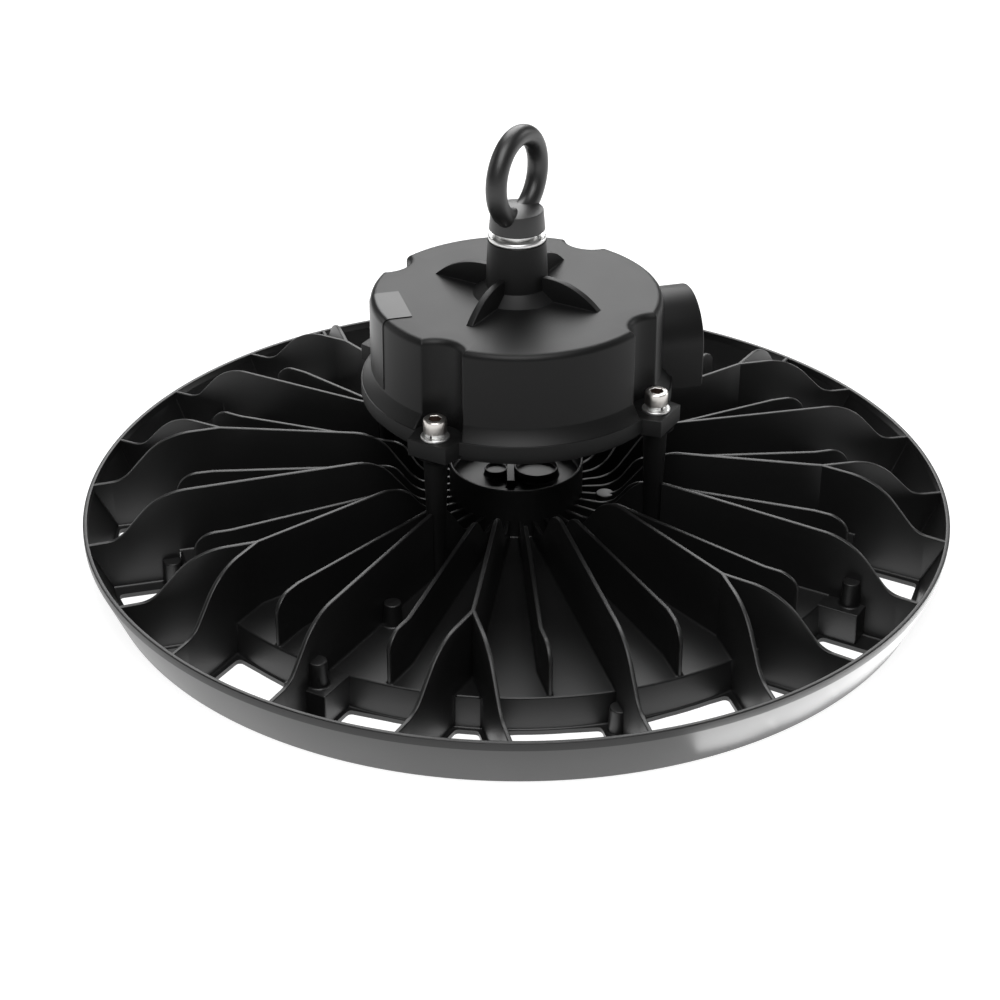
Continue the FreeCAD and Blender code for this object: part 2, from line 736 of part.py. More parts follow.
# Lower half of the driver housing: a plate with four lugs on four tapered legs
driver_base = new_body("driver_base")
base_plan = new_sketch(driver_base, "base_plan", "XY_Plane", "base_bottom")
circle(base_plan, "0", "0", "base_radius")
pad(driver_base, base_plan, "base_plate", "parting - base_bottom")


def lug(body, name, foot, height):
    """A tapered lug that reaches out over a leg."""
    sketch = new_sketch(body, name + "_plan", "XY_Plane", foot, "%g" % SECTOR)
    outline(sketch, [
        ("lug_root", "-lug_root_half_width"),
        ("lug_reach", "-lug_half_width"),
        ("lug_reach", "lug_half_width"),
        ("lug_root", "lug_root_half_width"),
    ])
    return pad(body, sketch, name, height)


base_lug = lug(driver_base, "base_lug_plate", "parting - base_lug", "base_lug")
leg = leg_cone(driver_base, "AdditiveCone", "leg", "0", LEG_HEIGHT)
leg_thread_plan = new_sketch(driver_base, "leg_thread_plan", "XY_Plane", FIN_FOOT, "%g" % SECTOR)
circle(leg_thread_plan, "leg_place_radius", "0", "leg_screw_radius")
leg_thread = pocket(driver_base, leg_thread_plan, "leg_thread", "leg_screw_depth + overlap")
SCREW_SEAT = "(flange_top + flat_washer_thickness + lock_washer_thickness)"
SCREW_END = "(%s - cover_screw_length)" % SCREW_SEAT
lug_thread_plan = new_sketch(driver_base, "lug_thread_plan", "XY_Plane", SCREW_END, "%g" % SECTOR)
circle(lug_thread_plan, "leg_place_radius", "0", "screw_thread_radius")
lug_thread = pocket(driver_base, lug_thread_plan, "lug_thread", "parting - %s + overlap" % SCREW_END)
repeat(driver_base, [base_lug, leg, leg_thread, lug_thread], "lugs_and_legs", "corner_count")
seal_plan = new_sketch(driver_base, "seal_plan", "XY_Plane", "parting - gasket_depth")
circle(seal_plan, "0", "0", "gasket_outer_radius")
circle(seal_plan, "0", "0", "gasket_inner_radius")
pocket(driver_base, seal_plan, "seal_groove", "gasket_depth + overlap")
outlet_plan = new_sketch(driver_base, "outlet_plan", "XY_Plane", "base_bottom - overlap", "post_azimuth")
circle(outlet_plan, "0", "wire_place", "gland_thread_radius")
circle(outlet_plan, "-vent_place_radius", "0", "vent_thread_radius")
pocket(driver_base, outlet_plan, "gland_and_vent_holes", "parting - base_bottom + 2 * overlap")

# Rubber ring that closes the joint between the two halves of the housing
cover_gasket = washer("cover_gasket", "gasket_outer_radius", "gasket_inner_radius", "gasket_depth")
place(cover_gasket, "0", "0", "parting - gasket_depth")

# Cover of the driver housing: flange, cone band, wall, scalloped corners, side boss and lifting boss
driver_cover = new_body("driver_cover")
cover_section = new_sketch(driver_cover, "cover_section", "XZ_Plane")
outline(cover_section, [
    ("0", "parting"),
    ("flange_radius", "parting"),
    ("flange_radius", "flange_top"),
    ("band_radius", "flange_top"),
    ("band_top_radius", "band_top"),
    ("cover_top_radius", "cover_top", "cover_round"),
    ("0", "cover_top"),
])
revolve(driver_cover, cover_section, "cover_body")
side_boss_plan = new_sketch(driver_cover, "side_boss_plan", "YZ_Plane", "side_boss_start")
outline(side_boss_plan, [
    ("-side_boss_half_width", "parting"),
    ("side_boss_half_width", "parting"),
    ("side_boss_half_width", "side_boss_axis + side_boss_half_width", "side_boss_round"),
    ("-side_boss_half_width", "side_boss_axis + side_boss_half_width", "side_boss_round"),
])
pad(driver_cover, side_boss_plan, "side_boss", "side_boss_reach - side_boss_start")
cover_lug = lug(driver_cover, "cover_lug", "parting", "flange_top - parting")
scallop_plan = new_sketch(driver_cover, "scallop_plan", "XY_Plane", "flange_top", "%g" % SECTOR)
circle(scallop_plan, "leg_place_radius", "0", "scallop_radius")
scallop = pocket(driver_cover, scallop_plan, "scallop", "cover_top - flange_top + overlap")
screw_plan = new_sketch(driver_cover, "screw_plan", "XY_Plane", "parting - overlap", "%g" % SECTOR)
circle(screw_plan, "leg_place_radius", "0", "screw_hole_radius")
screw_hole = pocket(driver_cover, screw_plan, "screw_hole", "flange_top - parting + 2 * overlap")
repeat(driver_cover, [cover_lug, scallop, screw_hole], "corners", "corner_count")

lifting_section = new_sketch(driver_cover, "lifting_section", "XZ_Plane")
outline(lifting_section, [
    ("0", "cover_top - cover_wall"),
    ("boss_skirt_radius", "cover_top - cover_wall"),
    ("boss_skirt_radius", "cover_top"),
    ("boss_foot_radius", "boss_foot"),
    ("boss_top_radius", "boss_top"),
    ("0", "boss_top"),
])
revolve(driver_cover, lifting_section, "lifting_boss")
rib_section = new_sketch(driver_cover, "rib_section", "XZ_Plane")
rib_section.setExpression("AttachmentOffset.Rotation.Pitch", bound("%g" % SECTOR))
outline(rib_section, [
    ("rib_start_radius", "cover_top - cover_wall / 2"),
    ("rib_end_radius", "cover_top - cover_wall / 2"),
    ("rib_end_radius", "cover_top"),
    ("rib_corner_radius", "cover_top + rib_rise", "rib_round"),
    ("rib_start_radius", "cover_top + rib_rise"),
])
rib = pad(driver_cover, rib_section, "rib", "rib_thickness")
rib.SideType = "Symmetric"
repeat(driver_cover, [rib], "ribs", "corner_count")


def scalloped_cavity(name, foot, height):
    """The hollow inside the cover: a round room with its wall bent in around the four screws."""
    sketch = new_sketch(driver_cover, name + "_plan", "XY_Plane", foot)
    room = number("cavity_radius")
    bulge = number("scallop_radius + cover_wall")
    reach = number("leg_place_radius")
    along = (room ** 2 + reach ** 2 - bulge ** 2) / (2 * reach)
    half_turn = math.acos(along / room)
    up = FreeCAD.Vector(0, 0, 1)
    arcs = []
    for side in range(CORNERS):
        middle = math.radians(SECTOR + QUARTER * side)
        centre = FreeCAD.Vector(reach * math.cos(middle), reach * math.sin(middle), 0)
        first = FreeCAD.Vector(room * math.cos(middle - half_turn), room * math.sin(middle - half_turn), 0)
        last = FreeCAD.Vector(room * math.cos(middle + half_turn), room * math.sin(middle + half_turn), 0)
        angles = [math.atan2(p.y - centre.y, p.x - centre.x) for p in (last, first)]
        bulge_circle = Part.Circle(centre, up, bulge)
        bent_in = sketch.addGeometry(Part.ArcOfCircle(bulge_circle, *angles), False)
        place_point(sketch, bent_in, 3, "leg_place_radius * cos(%g)" % math.degrees(middle),
                    "leg_place_radius * sin(%g)" % math.degrees(middle))
        drive_radius(sketch, bent_in, "scallop_radius + cover_wall")
        start = middle + half_turn
        end = middle + math.radians(QUARTER) - half_turn
        room_circle = Part.Circle(FreeCAD.Vector(), up, room)
        round_part = sketch.addGeometry(Part.ArcOfCircle(room_circle, start, end), False)
        sketch.addConstraint(Sketcher.Constraint("Coincident", round_part, 3, -1, 1))
        drive_radius(sketch, round_part, "cavity_radius")
        arcs += [bent_in, round_part]
    for index, arc in enumerate(arcs):
        following = arcs[(index + 1) % len(arcs)]
        if index % 2 == 0:
            sketch.addConstraint(Sketcher.Constraint("Coincident", arc, 1, following, 1))
        else:
            sketch.addConstraint(Sketcher.Constraint("Coincident", arc, 2, following, 2))
    return pocket(driver_cover, sketch, name, height)


scalloped_cavity("cavity", "parting - overlap", "cover_top - cover_wall - parting + overlap")
eye_bore_plan = new_sketch(driver_cover, "eye_bore_plan", "XY_Plane", "cover_top - cover_wall - overlap")
circle(eye_bore_plan, "0", "0", "boss_bore")
pocket(driver_cover, eye_bore_plan, "eye_bore", "boss_top - cover_top + cover_wall + 2 * overlap")
entry_plan = new_sketch(driver_cover, "entry_plan", "YZ_Plane", "side_boss_reach + overlap")
circle(entry_plan, "0", "side_boss_axis", "entry_radius")
extrude(driver_cover, "Pocket", entry_plan, "cable_entry", "side_boss_reach - side_boss_start + overlap")

# Lifting eye: ring, tapered collar with a cone on top and shank in one forging
eye_bolt = new_body("eye_bolt")
EYE_SEAT = "boss_top + eye_washer_thickness + eye_lock_thickness"
eye_section = new_sketch(eye_bolt, "eye_section", "XZ_Plane")
outline(eye_section, [
    ("0", "eye_shank_end"),
    ("eye_shank_radius", "eye_shank_end"),
    ("eye_shank_radius", EYE_SEAT),
    ("eye_collar_radius", EYE_SEAT),
    ("eye_collar_top_radius", "%s + eye_collar_height" % EYE_SEAT),
    ("0", "%s + eye_collar_height + eye_cone" % EYE_SEAT),
])
revolve(eye_bolt, eye_section, "collar_and_shank")
eye_ring_section = new_sketch(eye_bolt, "eye_ring_section", "XY_Plane", "eye_ring_axis", "eye_azimuth")
circle(eye_ring_section, "eye_ring_radius", "0", "eye_tube_radius")
revolve(eye_bolt, eye_ring_section, "eye_ring")

eye_flat_washer = washer("eye_flat_washer", "eye_washer_radius", "boss_bore", "eye_washer_thickness")
place(eye_flat_washer, "0", "0", "boss_top")
eye_lock_washer = split_washer("eye_lock_washer", "eye_lock_radius", "boss_bore",
                               "eye_lock_thickness", "eye_lock_gap")
place(eye_lock_washer, "0", "0", "boss_top + eye_washer_thickness", "eye_lock_turn")
eye_nut = new_body("eye_nut")
eye_nut_plan = new_sketch(eye_nut, "eye_nut_plan")
hexagon(eye_nut_plan, "eye_nut_flats")
pad(eye_nut, eye_nut_plan, "eye_nut_block", "eye_nut_height")
eye_nut_bore_plan = new_sketch(eye_nut, "eye_nut_bore_plan", "XY_Plane", "-overlap")
circle(eye_nut_bore_plan, "0", "0", "eye_shank_radius")
pocket(eye_nut, eye_nut_bore_plan, "eye_nut_bore", "eye_nut_height + 2 * overlap")
place(eye_nut, "0", "0", "cover_top - cover_wall - eye_nut_height")

# Four cap screws, each on a split washer and a flat washer, at the corners of the cover
for corner, split_turn in enumerate(SPLIT_TURNS):
    azimuth = SECTOR + QUARTER * corner
    across = "leg_place_radius * cos(%g)" % azimuth
    along = "leg_place_radius * sin(%g)" % azimuth
    tag = "_%d" % (corner + 1)
    flat = washer("flat_washer" + tag, "flat_washer_radius", "screw_hole_radius", "flat_washer_thickness")
    place(flat, across, along, "flange_top")
    lock = split_washer("lock_washer" + tag, "lock_washer_radius", "screw_hole_radius",
                        "lock_washer_thickness", "lock_washer_gap")
    inward = azimuth - 2 * QUARTER
    place(lock, across, along, "flange_top + flat_washer_thickness", "%g" % (split_turn + inward))
    screw = new_body("cap_screw" + tag)
    section = new_sketch(screw, "cap_screw_section" + tag, "XZ_Plane")
    outline(section, [
        ("0", "-cover_screw_length"),
        ("screw_thread_radius", "-cover_screw_length"),
        ("screw_thread_radius", "0"),
        ("head_radius", "0"),
        ("head_radius", "head_height", "head_chamfer"),
        ("0", "head_height"),
    ])
    revolve(screw, section, "head_and_shank" + tag)
    socket = new_sketch(screw, "socket_plan" + tag, "XY_Plane", "head_height - socket_depth")
    hexagon(socket, "socket_flats")
    pocket(screw, socket, "socket" + tag, "socket_depth + overlap")
    place(screw, across, along, SCREW_SEAT, "socket_turn + %g" % inward)

# Blank plate bent over the edge of the cover
nameplate = new_body("nameplate")
nameplate_section = new_sketch(nameplate, "nameplate_section", "XZ_Plane")
WALL_SLOPE = "(band_top_radius - cover_top_radius) / (cover_top - band_top)"
PLATE_FOOT_RADIUS = "(band_top_radius - %s * (plate_foot - band_top))" % WALL_SLOPE
PLATE_OUT = "(plate_glue + plate_thickness)"
outline(nameplate_section, [
    ("plate_inner_reach - overlap", "cover_top + plate_glue"),
    ("cover_top_radius + plate_glue", "cover_top + plate_glue", "cover_round + plate_glue"),
    ("%s + plate_glue" % PLATE_FOOT_RADIUS, "plate_foot"),
    ("%s + %s" % (PLATE_FOOT_RADIUS, PLATE_OUT), "plate_foot"),
    ("cover_top_radius + %s" % PLATE_OUT, "cover_top + %s" % PLATE_OUT, "cover_round + %s" % PLATE_OUT),
    ("plate_inner_reach - overlap", "cover_top + %s" % PLATE_OUT),
])
revolve(nameplate, nameplate_section, "wrapped_sheet")
nameplate_cut = new_sketch(nameplate, "nameplate_cut_plan", "XY_Plane", "parting")
outline(nameplate_cut, [
    ("-plate_inner_reach", "-plate_half_width"),
    ("-plate_inner_reach", "plate_half_width"),
    ("-2 * cover_top_radius", "plate_half_width"),
    ("-2 * cover_top_radius", "2 * cover_top_radius"),
    ("2 * cover_top_radius", "2 * cover_top_radius"),
    ("2 * cover_top_radius", "-2 * cover_top_radius"),
    ("-2 * cover_top_radius", "-2 * cover_top_radius"),
    ("-2 * cover_top_radius", "-plate_half_width"),
])
pocket(nameplate, nameplate_cut, "trimmed_to_size", "cover_top")

# Driver block on the base plate, with a gland for its leads and a vent beside it
driver_module = new_body("driver_module")
driver_plan = new_sketch(driver_module, "driver_plan")
outline(driver_plan, [
    ("-driver_length / 2", "-driver_width / 2", "driver_round"),
    ("driver_length / 2", "-driver_width / 2", "driver_round"),
    ("driver_length / 2", "driver_width / 2", "driver_round"),
    ("-driver_length / 2", "driver_width / 2", "driver_round"),
])
pad(driver_module, driver_plan, "driver_block", "driver_height")
place(driver_module, "0", "0", "parting")

cable_gland = new_body("cable_gland")
gland_plan = new_sketch(cable_gland, "gland_plan", "XY_Plane", "-gland_nut_height")
hexagon(gland_plan, "gland_nut_flats")
pad(cable_gland, gland_plan, "gland_nut", "gland_nut_height")
gland_thread_plan = new_sketch(cable_gland, "gland_thread_plan", "XY_Plane", "-gland_height")
circle(gland_thread_plan, "0", "0", "gland_thread_radius")
pad(cable_gland, gland_thread_plan, "gland_body", "gland_height + parting - base_bottom")
gland_bore_plan = new_sketch(cable_gland, "gland_bore_plan", "XY_Plane", "-gland_height - overlap")
circle(gland_bore_plan, "0", "0", "gland_bore_radius")
pocket(cable_gland, gland_bore_plan, "gland_bore", "gland_height + parting - base_bottom + 2 * overlap")
place(cable_gland, "-wire_place * sin(post_azimuth)", "wire_place * cos(post_azimuth)", "base_bottom")

vent_plug = new_body("vent_plug")
vent_plan = new_sketch(vent_plug, "vent_plan", "XY_Plane", "-vent_height")
circle(vent_plan, "0", "0", "vent_radius")
pad(vent_plug, vent_plan, "vent_cap", "vent_height")
vent_thread_plan = new_sketch(vent_plug, "vent_thread_plan", "XY_Plane", "-overlap")
circle(vent_thread_plan, "0", "0", "vent_thread_radius")
pad(vent_plug, vent_thread_plan, "vent_thread", "parting - base_bottom + overlap")
place(vent_plug, "-vent_place_radius * cos(post_azimuth)", "-vent_place_radius * sin(post_azimuth)",
      "base_bottom")

# Four bolts that hold the legs, put in from the light side before the board
leg_bolts = new_body("leg_bolts")
leg_bolt_section = new_sketch(leg_bolts, "leg_bolt_section", "XZ_Plane", across="leg_place_radius")
outline(leg_bolt_section, [
    ("0", "-leg_bolt_head_height"),
    ("leg_bolt_head_radius", "-leg_bolt_head_height"),
    ("leg_bolt_head_radius", "0"),
    ("leg_screw_radius", "0"),
    ("leg_screw_radius", "platform_plate + leg_screw_depth - overlap"),
    ("0", "platform_plate + leg_screw_depth - overlap"),
])
leg_bolt = revolve(leg_bolts, leg_bolt_section, "leg_bolt")
repeat(leg_bolts, [leg_bolt], "four_leg_bolts", "corner_count")
place(leg_bolts, "0", "0", "platform_top - platform_plate", "%g" % SECTOR)

# Light board with its light sources in rings
BOARD_FOOT = "platform_top - platform_plate - board_thickness"
led_board = new_body("led_board")
board_plan = ring_plan(led_board, "board_plan", "board_radius", "board_hole_radius", None)
pad(led_board, board_plan, "board", "board_thickness")
board_gap_plan = new_sketch(led_board, "board_gap_plan", "XY_Plane", "-overlap", "%g" % SECTOR)
circle(board_gap_plan, "leg_place_radius", "0", "leg_bolt_head_radius + bolt_clearance")
board_gap = pocket(led_board, board_gap_plan, "bolt_gap", "board_thickness + 2 * overlap")
repeat(led_board, [board_gap], "bolt_gaps", "corner_count")
place(led_board, "0", "0", BOARD_FOOT)

leds = new_body("leds")
for ring in range(LED_RINGS):
    tag = "_%d" % (ring + 1)
    middle = "(led_first_ring + %d * led_ring_step)" % ring
    led_plan = new_sketch(leds, "led_plan" + tag)
    outline(led_plan, [
        ("%s - led_size / 2" % middle, "-led_size / 2"),
        ("%s + led_size / 2" % middle, "-led_size / 2"),
        ("%s + led_size / 2" % middle, "led_size / 2"),
        ("%s - led_size / 2" % middle, "led_size / 2"),
    ])
    led = pad(leds, led_plan, "led" + tag, "led_height")
    repeat(leds, [led], "led_ring" + tag, "leds_in_first_ring * %d" % (ring + 1))
place(leds, "0", "0", "%s - led_height" % BOARD_FOOT)


def screwed_ring(label, outer, inner, thickness, foot):
    """A flat ring or disc with the holes of the screws that hold the lens."""
    body = new_body(label)
    sketch = new_sketch(body, label + "_plan")
    circle(sketch, "0", "0", outer)
    if inner:
        circle(sketch, "0", "0", inner)
    pad(body, sketch, label + "_sheet", thickness)
    hole_plan = new_sketch(body, label + "_hole_plan", "XY_Plane", "-overlap")
    circle(hole_plan, "lens_ring_screw_place", "0", "small_screw_radius")
    hole = pocket(body, hole_plan, label + "_hole", "%s + 2 * overlap" % thickness)
    repeat(body, [hole], label + "_holes", "lens_ring_screws")
    place(body, "0", "0", foot)
    return body


# Lens between its gasket and the ring that holds it, with the screws of the ring
screwed_ring("lens_gasket", "lens_radius", "board_recess_radius", "lens_gasket_thickness",
             "lens_seat_depth - lens_gasket_thickness")
screwed_ring("lens_cover", "lens_radius", None, "lens_thickness",
             "small_head_height + lens_ring_thickness")
screwed_ring("lens_ring", "lens_radius", "lens_ring_inner_radius", "lens_ring_thickness",
             "small_head_height")
ring_screws = new_body("lens_ring_screws")
ring_screw_section = new_sketch(ring_screws, "ring_screw_section", "XZ_Plane",
                                across="lens_ring_screw_place")
outline(ring_screw_section, [
    ("0", "0"),
    ("small_head_radius", "0"),
    ("small_head_radius", "small_head_height"),
    ("small_screw_radius", "small_head_height"),
    ("small_screw_radius", "lens_seat_depth + small_screw_length - overlap"),
    ("0", "lens_seat_depth + small_screw_length - overlap"),
])
ring_screw = revolve(ring_screws, ring_screw_section, "ring_screw")
repeat(ring_screws, [ring_screw], "twelve_ring_screws", "lens_ring_screws")

doc.recompute()
failed = [item.Label for item in doc.Objects if "Invalid" in item.State or "Error" in item.State]
if failed:
    raise RuntimeError("these did not compute: " + ", ".join(failed))
for piece in pieces:
    if piece.Shape.isNull() or not piece.Shape.isValid():
        raise RuntimeError(piece.Label + " has no valid shape")
os.makedirs("parts", exist_ok=True)
for piece in pieces:
    piece.Shape.exportStep("parts/" + piece.Label + ".step")
    box = piece.Shape.BoundBox
    print(piece.Label, len(piece.Shape.Solids), "solids", round(piece.Shape.Volume), "mm3, z",
          round(box.ZMin, 2), "to", round(box.ZMax, 2))
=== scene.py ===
import math

import bmesh
import bpy
from mathutils import Matrix, Vector
from mathutils.geometry import tessellate_polygon


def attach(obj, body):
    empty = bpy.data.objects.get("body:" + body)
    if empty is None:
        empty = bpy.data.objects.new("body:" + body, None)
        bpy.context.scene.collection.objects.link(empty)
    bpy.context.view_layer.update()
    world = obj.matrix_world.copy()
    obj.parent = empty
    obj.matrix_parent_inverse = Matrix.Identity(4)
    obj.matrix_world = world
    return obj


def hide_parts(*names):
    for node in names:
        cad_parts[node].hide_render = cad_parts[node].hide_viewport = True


# Looks of a round high bay light: cast black heatsink with forked fins, driver housing on four legs,
# lifting eye, bright screws and washers. Lengths in the shape code are millimetres.

MM = 0.001
SECTOR = 45.0
QUARTER = 90.0
ARC_STEP = math.radians(15)
LONGEST_CHORD = 1.6
QUARTER_ARC = (0, math.pi / 6, math.pi / 3, math.pi / 2)
# How far a fin, pin or block reaches into what carries it
SUNK = 0.3

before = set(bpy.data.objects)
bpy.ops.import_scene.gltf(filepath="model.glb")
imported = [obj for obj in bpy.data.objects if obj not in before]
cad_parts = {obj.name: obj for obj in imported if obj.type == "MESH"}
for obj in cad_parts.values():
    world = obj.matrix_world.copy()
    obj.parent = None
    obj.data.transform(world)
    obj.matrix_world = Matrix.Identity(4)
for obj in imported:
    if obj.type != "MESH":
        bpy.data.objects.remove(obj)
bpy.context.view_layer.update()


# Shape code

def around(azimuth, along, across=0.0, up=0.0):
    """A point at a distance from the axis of the light, in the direction of an azimuth."""
    turn = math.radians(azimuth)
    return Vector((along * math.cos(turn) - across * math.sin(turn),
                   along * math.sin(turn) + across * math.cos(turn), up))


def spun(azimuth):
    """The matrix that turns a shape about the axis of the light to face an azimuth."""
    return Matrix.Rotation(math.radians(azimuth), 4, "Z")


def stand(azimuth, along, across=0.0):
    """The matrix that puts a shape made at the origin in that place, turned with it."""
    return Matrix.Translation(around(azimuth, along, across)) @ spun(azimuth)


def arc(centre, radius, start, end):
    """Points on a circular arc from one angle to another, in radians."""
    steps = max(2, math.ceil(abs(end - start) / min(ARC_STEP, LONGEST_CHORD / radius)))
    angles = [start + (end - start) * k / steps for k in range(steps + 1)]
    return [Vector((centre[0] + radius * math.cos(a), centre[1] + radius * math.sin(a))) for a in angles]


def ring(radius, steps=64, centre=(0.0, 0.0)):
    """A closed circle of points."""
    angles = [2 * math.pi * k / steps for k in range(steps)]
    return [Vector((centre[0] + radius * math.cos(a), centre[1] + radius * math.sin(a))) for a in angles]


def hexagon(flats, turn):
    """The corners of a hexagon with a width across its flats, turned by some degrees."""
    reach = flats / 2 / math.cos(math.radians(30))
    angles = [math.radians(60 * k + turn) for k in range(6)]
    return [Vector((reach * math.cos(a), reach * math.sin(a))) for a in angles]


def rounded(corners, closed=False):
    """The line through the corners, where a corner with a third number is rounded to that radius."""
    line = []
    count = len(corners)
    for index, corner in enumerate(corners):
        here = Vector(corner[:2])
        inside = closed or 0 < index < count - 1
        if len(corner) < 3 or not inside:
            line.append(here)
            continue
        radius = corner[2]
        incoming = (Vector(corners[index - 1][:2]) - here).normalized()
        outgoing = (Vector(corners[(index + 1) % count][:2]) - here).normalized()
        half = incoming.angle(outgoing) / 2
        centre = here + (incoming + outgoing).normalized() * radius / math.sin(half)
        first = here + incoming * radius / math.tan(half) - centre
        last = here + outgoing * radius / math.tan(half) - centre
        start = math.atan2(first.y, first.x)
        sweep = math.atan2(last.y, last.x) - start
        sweep = (sweep + math.pi) % (2 * math.pi) - math.pi
        line += arc(centre, radius, start, start + sweep)
    return line


def height_on(line, at):
    """The height of a line of (distance, height) points at a distance."""
    for before, after in zip(line, line[1:]):
        if before.x <= at <= after.x and after.x > before.x:
            return before.y + (after.y - before.y) * (at - before.x) / (after.x - before.x)
    return line[-1].y if at > line[-1].x else line[0].y


def inset(outline, distance):
    """The closed outline, which runs counter-clockwise, moved inwards by a distance."""
    if not distance:
        return outline
    moved = []
    for index, here in enumerate(outline):
        before = (here - outline[index - 1]).normalized()
        after = (outline[(index + 1) % len(outline)] - here).normalized()
        normal = Vector((-before.y - after.y, before.x + after.x)).normalized()
        spread = max(0.5, normal.dot(Vector((-after.y, after.x))))
        moved.append(here + normal * distance / spread)
    return moved


class Shape:
    """Points and faces of one piece."""

    def __init__(self):
        self.points = []
        self.faces = []

    def add(self, points, faces, matrix=None):
        base = len(self.points)
        self.points += [matrix @ Vector(p) if matrix else Vector(p) for p in points]
        self.faces += [[base + i for i in face] for face in faces]

    def grid(self, rows, round_rows=False, caps=False, matrix=None):
        """Quads between rows of points. Rows may be closed loops, and the ends may be capped."""
        width = len(rows[0])
        faces = []
        for row in range(len(rows) - 1):
            for column in range(width if round_rows else width - 1):
                following = (column + 1) % width
                faces.append([row * width + column, row * width + following,
                              (row + 1) * width + following, (row + 1) * width + column])
        if caps:
            faces.append(list(range(width))[::-1])
            faces.append([(len(rows) - 1) * width + k for k in range(width)])
        self.add([point for row in rows for point in row], faces, matrix)

    def lathe(self, corners, steps=96, matrix=None):
        """The closed section of (radius, height) corners turned about the vertical axis."""
        section = rounded(corners, closed=True)
        rows = []
        for k in range(steps + 1):
            turn = 2 * math.pi * k / steps
            rows.append([Vector((p.x * math.cos(turn), p.x * math.sin(turn), p.y)) for p in section])
        self.grid(rows, round_rows=True, matrix=matrix)

    def plate(self, outer, holes, bottom, top, edge=0.0, hole_edge=0.0, matrix=None, foot_edge=None):
        """A flat plate with holes. Its edges are rounded at the top and, less, at the bottom."""
        loops = [(outer, edge)] + [(hole[::-1], hole_edge) for hole in holes]
        low = edge / 2 if foot_edge is None else foot_edge
        tops = []
        bottoms = []
        for loop, round_off in loops:
            below = min(low, round_off)
            levels = [(0.0, bottom)]
            if below:
                levels = [(below * (1 - math.sin(a)), bottom + below * (1 - math.cos(a)))
                          for a in QUARTER_ARC]
            if round_off:
                levels += [(round_off * (1 - math.cos(a)), top - round_off * (1 - math.sin(a)))
                           for a in QUARTER_ARC]
            else:
                levels.append((0.0, top))
            rows = [[Vector((p.x, p.y, z)) for p in inset(loop, d)] for d, z in levels]
            self.grid(rows, round_rows=True, matrix=matrix)
            bottoms.append(rows[0])
            tops.append(rows[-1])
        for lines in (tops, bottoms):
            triangles = tessellate_polygon([[(p.x, p.y, 0.0) for p in line] for line in lines])
            self.add([p for line in lines for p in line], [list(t) for t in triangles], matrix)

    def wall(self, path, half, top, foot, crest=0.55, flare=1.0, round_end=False, matrix=None):
        """An upright wall along a path, with a rounded crest and a fillet along each foot."""
        spots = [(Vector(p), half) for p in path]
        if round_end:
            tip, before = spots[-1][0], spots[-2][0]
            ahead = (tip - before).normalized()
            spots = [item for item in spots if (item[0] - tip).length > half * 1.2]
            for k in range(5):
                angle = math.radians(20 * k)
                spots.append((tip - ahead * half * (1 - math.sin(angle)), half * math.cos(angle)))
        rows = []
        for index, (here, reach) in enumerate(spots):
            before = spots[max(0, index - 1)][0]
            after = spots[min(len(spots) - 1, index + 1)][0]
            back = (here - before).normalized() if index else (after - here).normalized()
            ahead = (after - here).normalized() if index < len(spots) - 1 else back
            normal = Vector((-back.y - ahead.y, back.x + ahead.x)).normalized()
            spread = max(0.6, normal.dot(Vector((-ahead.y, ahead.x))))
            high, low = top(here.length), foot(here.length)
            over = min(crest, reach * 0.9, (high - low) * 0.4)
            under = min(flare, (high - low) * 0.4)
            side = [(reach + under, low - SUNK)]
            side += [(reach + under * (1 - math.sin(a)), low + under * (1 - math.cos(a)))
                     for a in QUARTER_ARC]
            side += [(reach - over * (1 - math.cos(a)), high - over * (1 - math.sin(a)))
                     for a in QUARTER_ARC]
            section = side + [(-u, z) for u, z in reversed(side)]
            rows.append([Vector((here.x + normal.x * u / spread, here.y + normal.y * u / spread, z))
                         for u, z in section])
        self.grid(rows, round_rows=True, caps=True, matrix=matrix)

    def build(self, name, material, slot, nodes=(), smooth_below=28.0):
        """The finished object, which rides on the light and stands for the CAD nodes named."""
        mesh = bpy.data.meshes.new(name)
        mesh.from_pydata([p * MM for p in self.points], [], self.faces)
        shell = bmesh.new()
        shell.from_mesh(mesh)
        bmesh.ops.remove_doubles(shell, verts=shell.verts, dist=0.002 * MM)
        bmesh.ops.dissolve_degenerate(shell, edges=shell.edges, dist=0.0005 * MM)
        bmesh.ops.recalc_face_normals(shell, faces=shell.faces)
        shell.to_mesh(mesh)
        shell.free()
        mesh.shade_smooth()
        mesh.set_sharp_from_angle(angle=math.radians(smooth_below))
        piece = bpy.data.objects.new(name, mesh)
        bpy.context.scene.collection.objects.link(piece)
        piece.data.materials.append(material)
        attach(piece, "root")
        if nodes:
            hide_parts(*nodes)
        return piece


# Materials

def blank_material(name):
    """A new material with its nodes, links and shader."""
    material = bpy.data.materials.new(name)
    material.use_nodes = True
    nodes = material.node_tree.nodes
    nodes.clear()
    output = nodes.new("ShaderNodeOutputMaterial")
    shader = nodes.new("ShaderNodeBsdfPrincipled")
    material.node_tree.links.new(shader.outputs["BSDF"], output.inputs["Surface"])
    return material, nodes, material.node_tree.links, shader


FINE_GRAIN = 1800.0
BROAD_GRAIN = 28.0
RELIEF_DEPTH = 0.00002


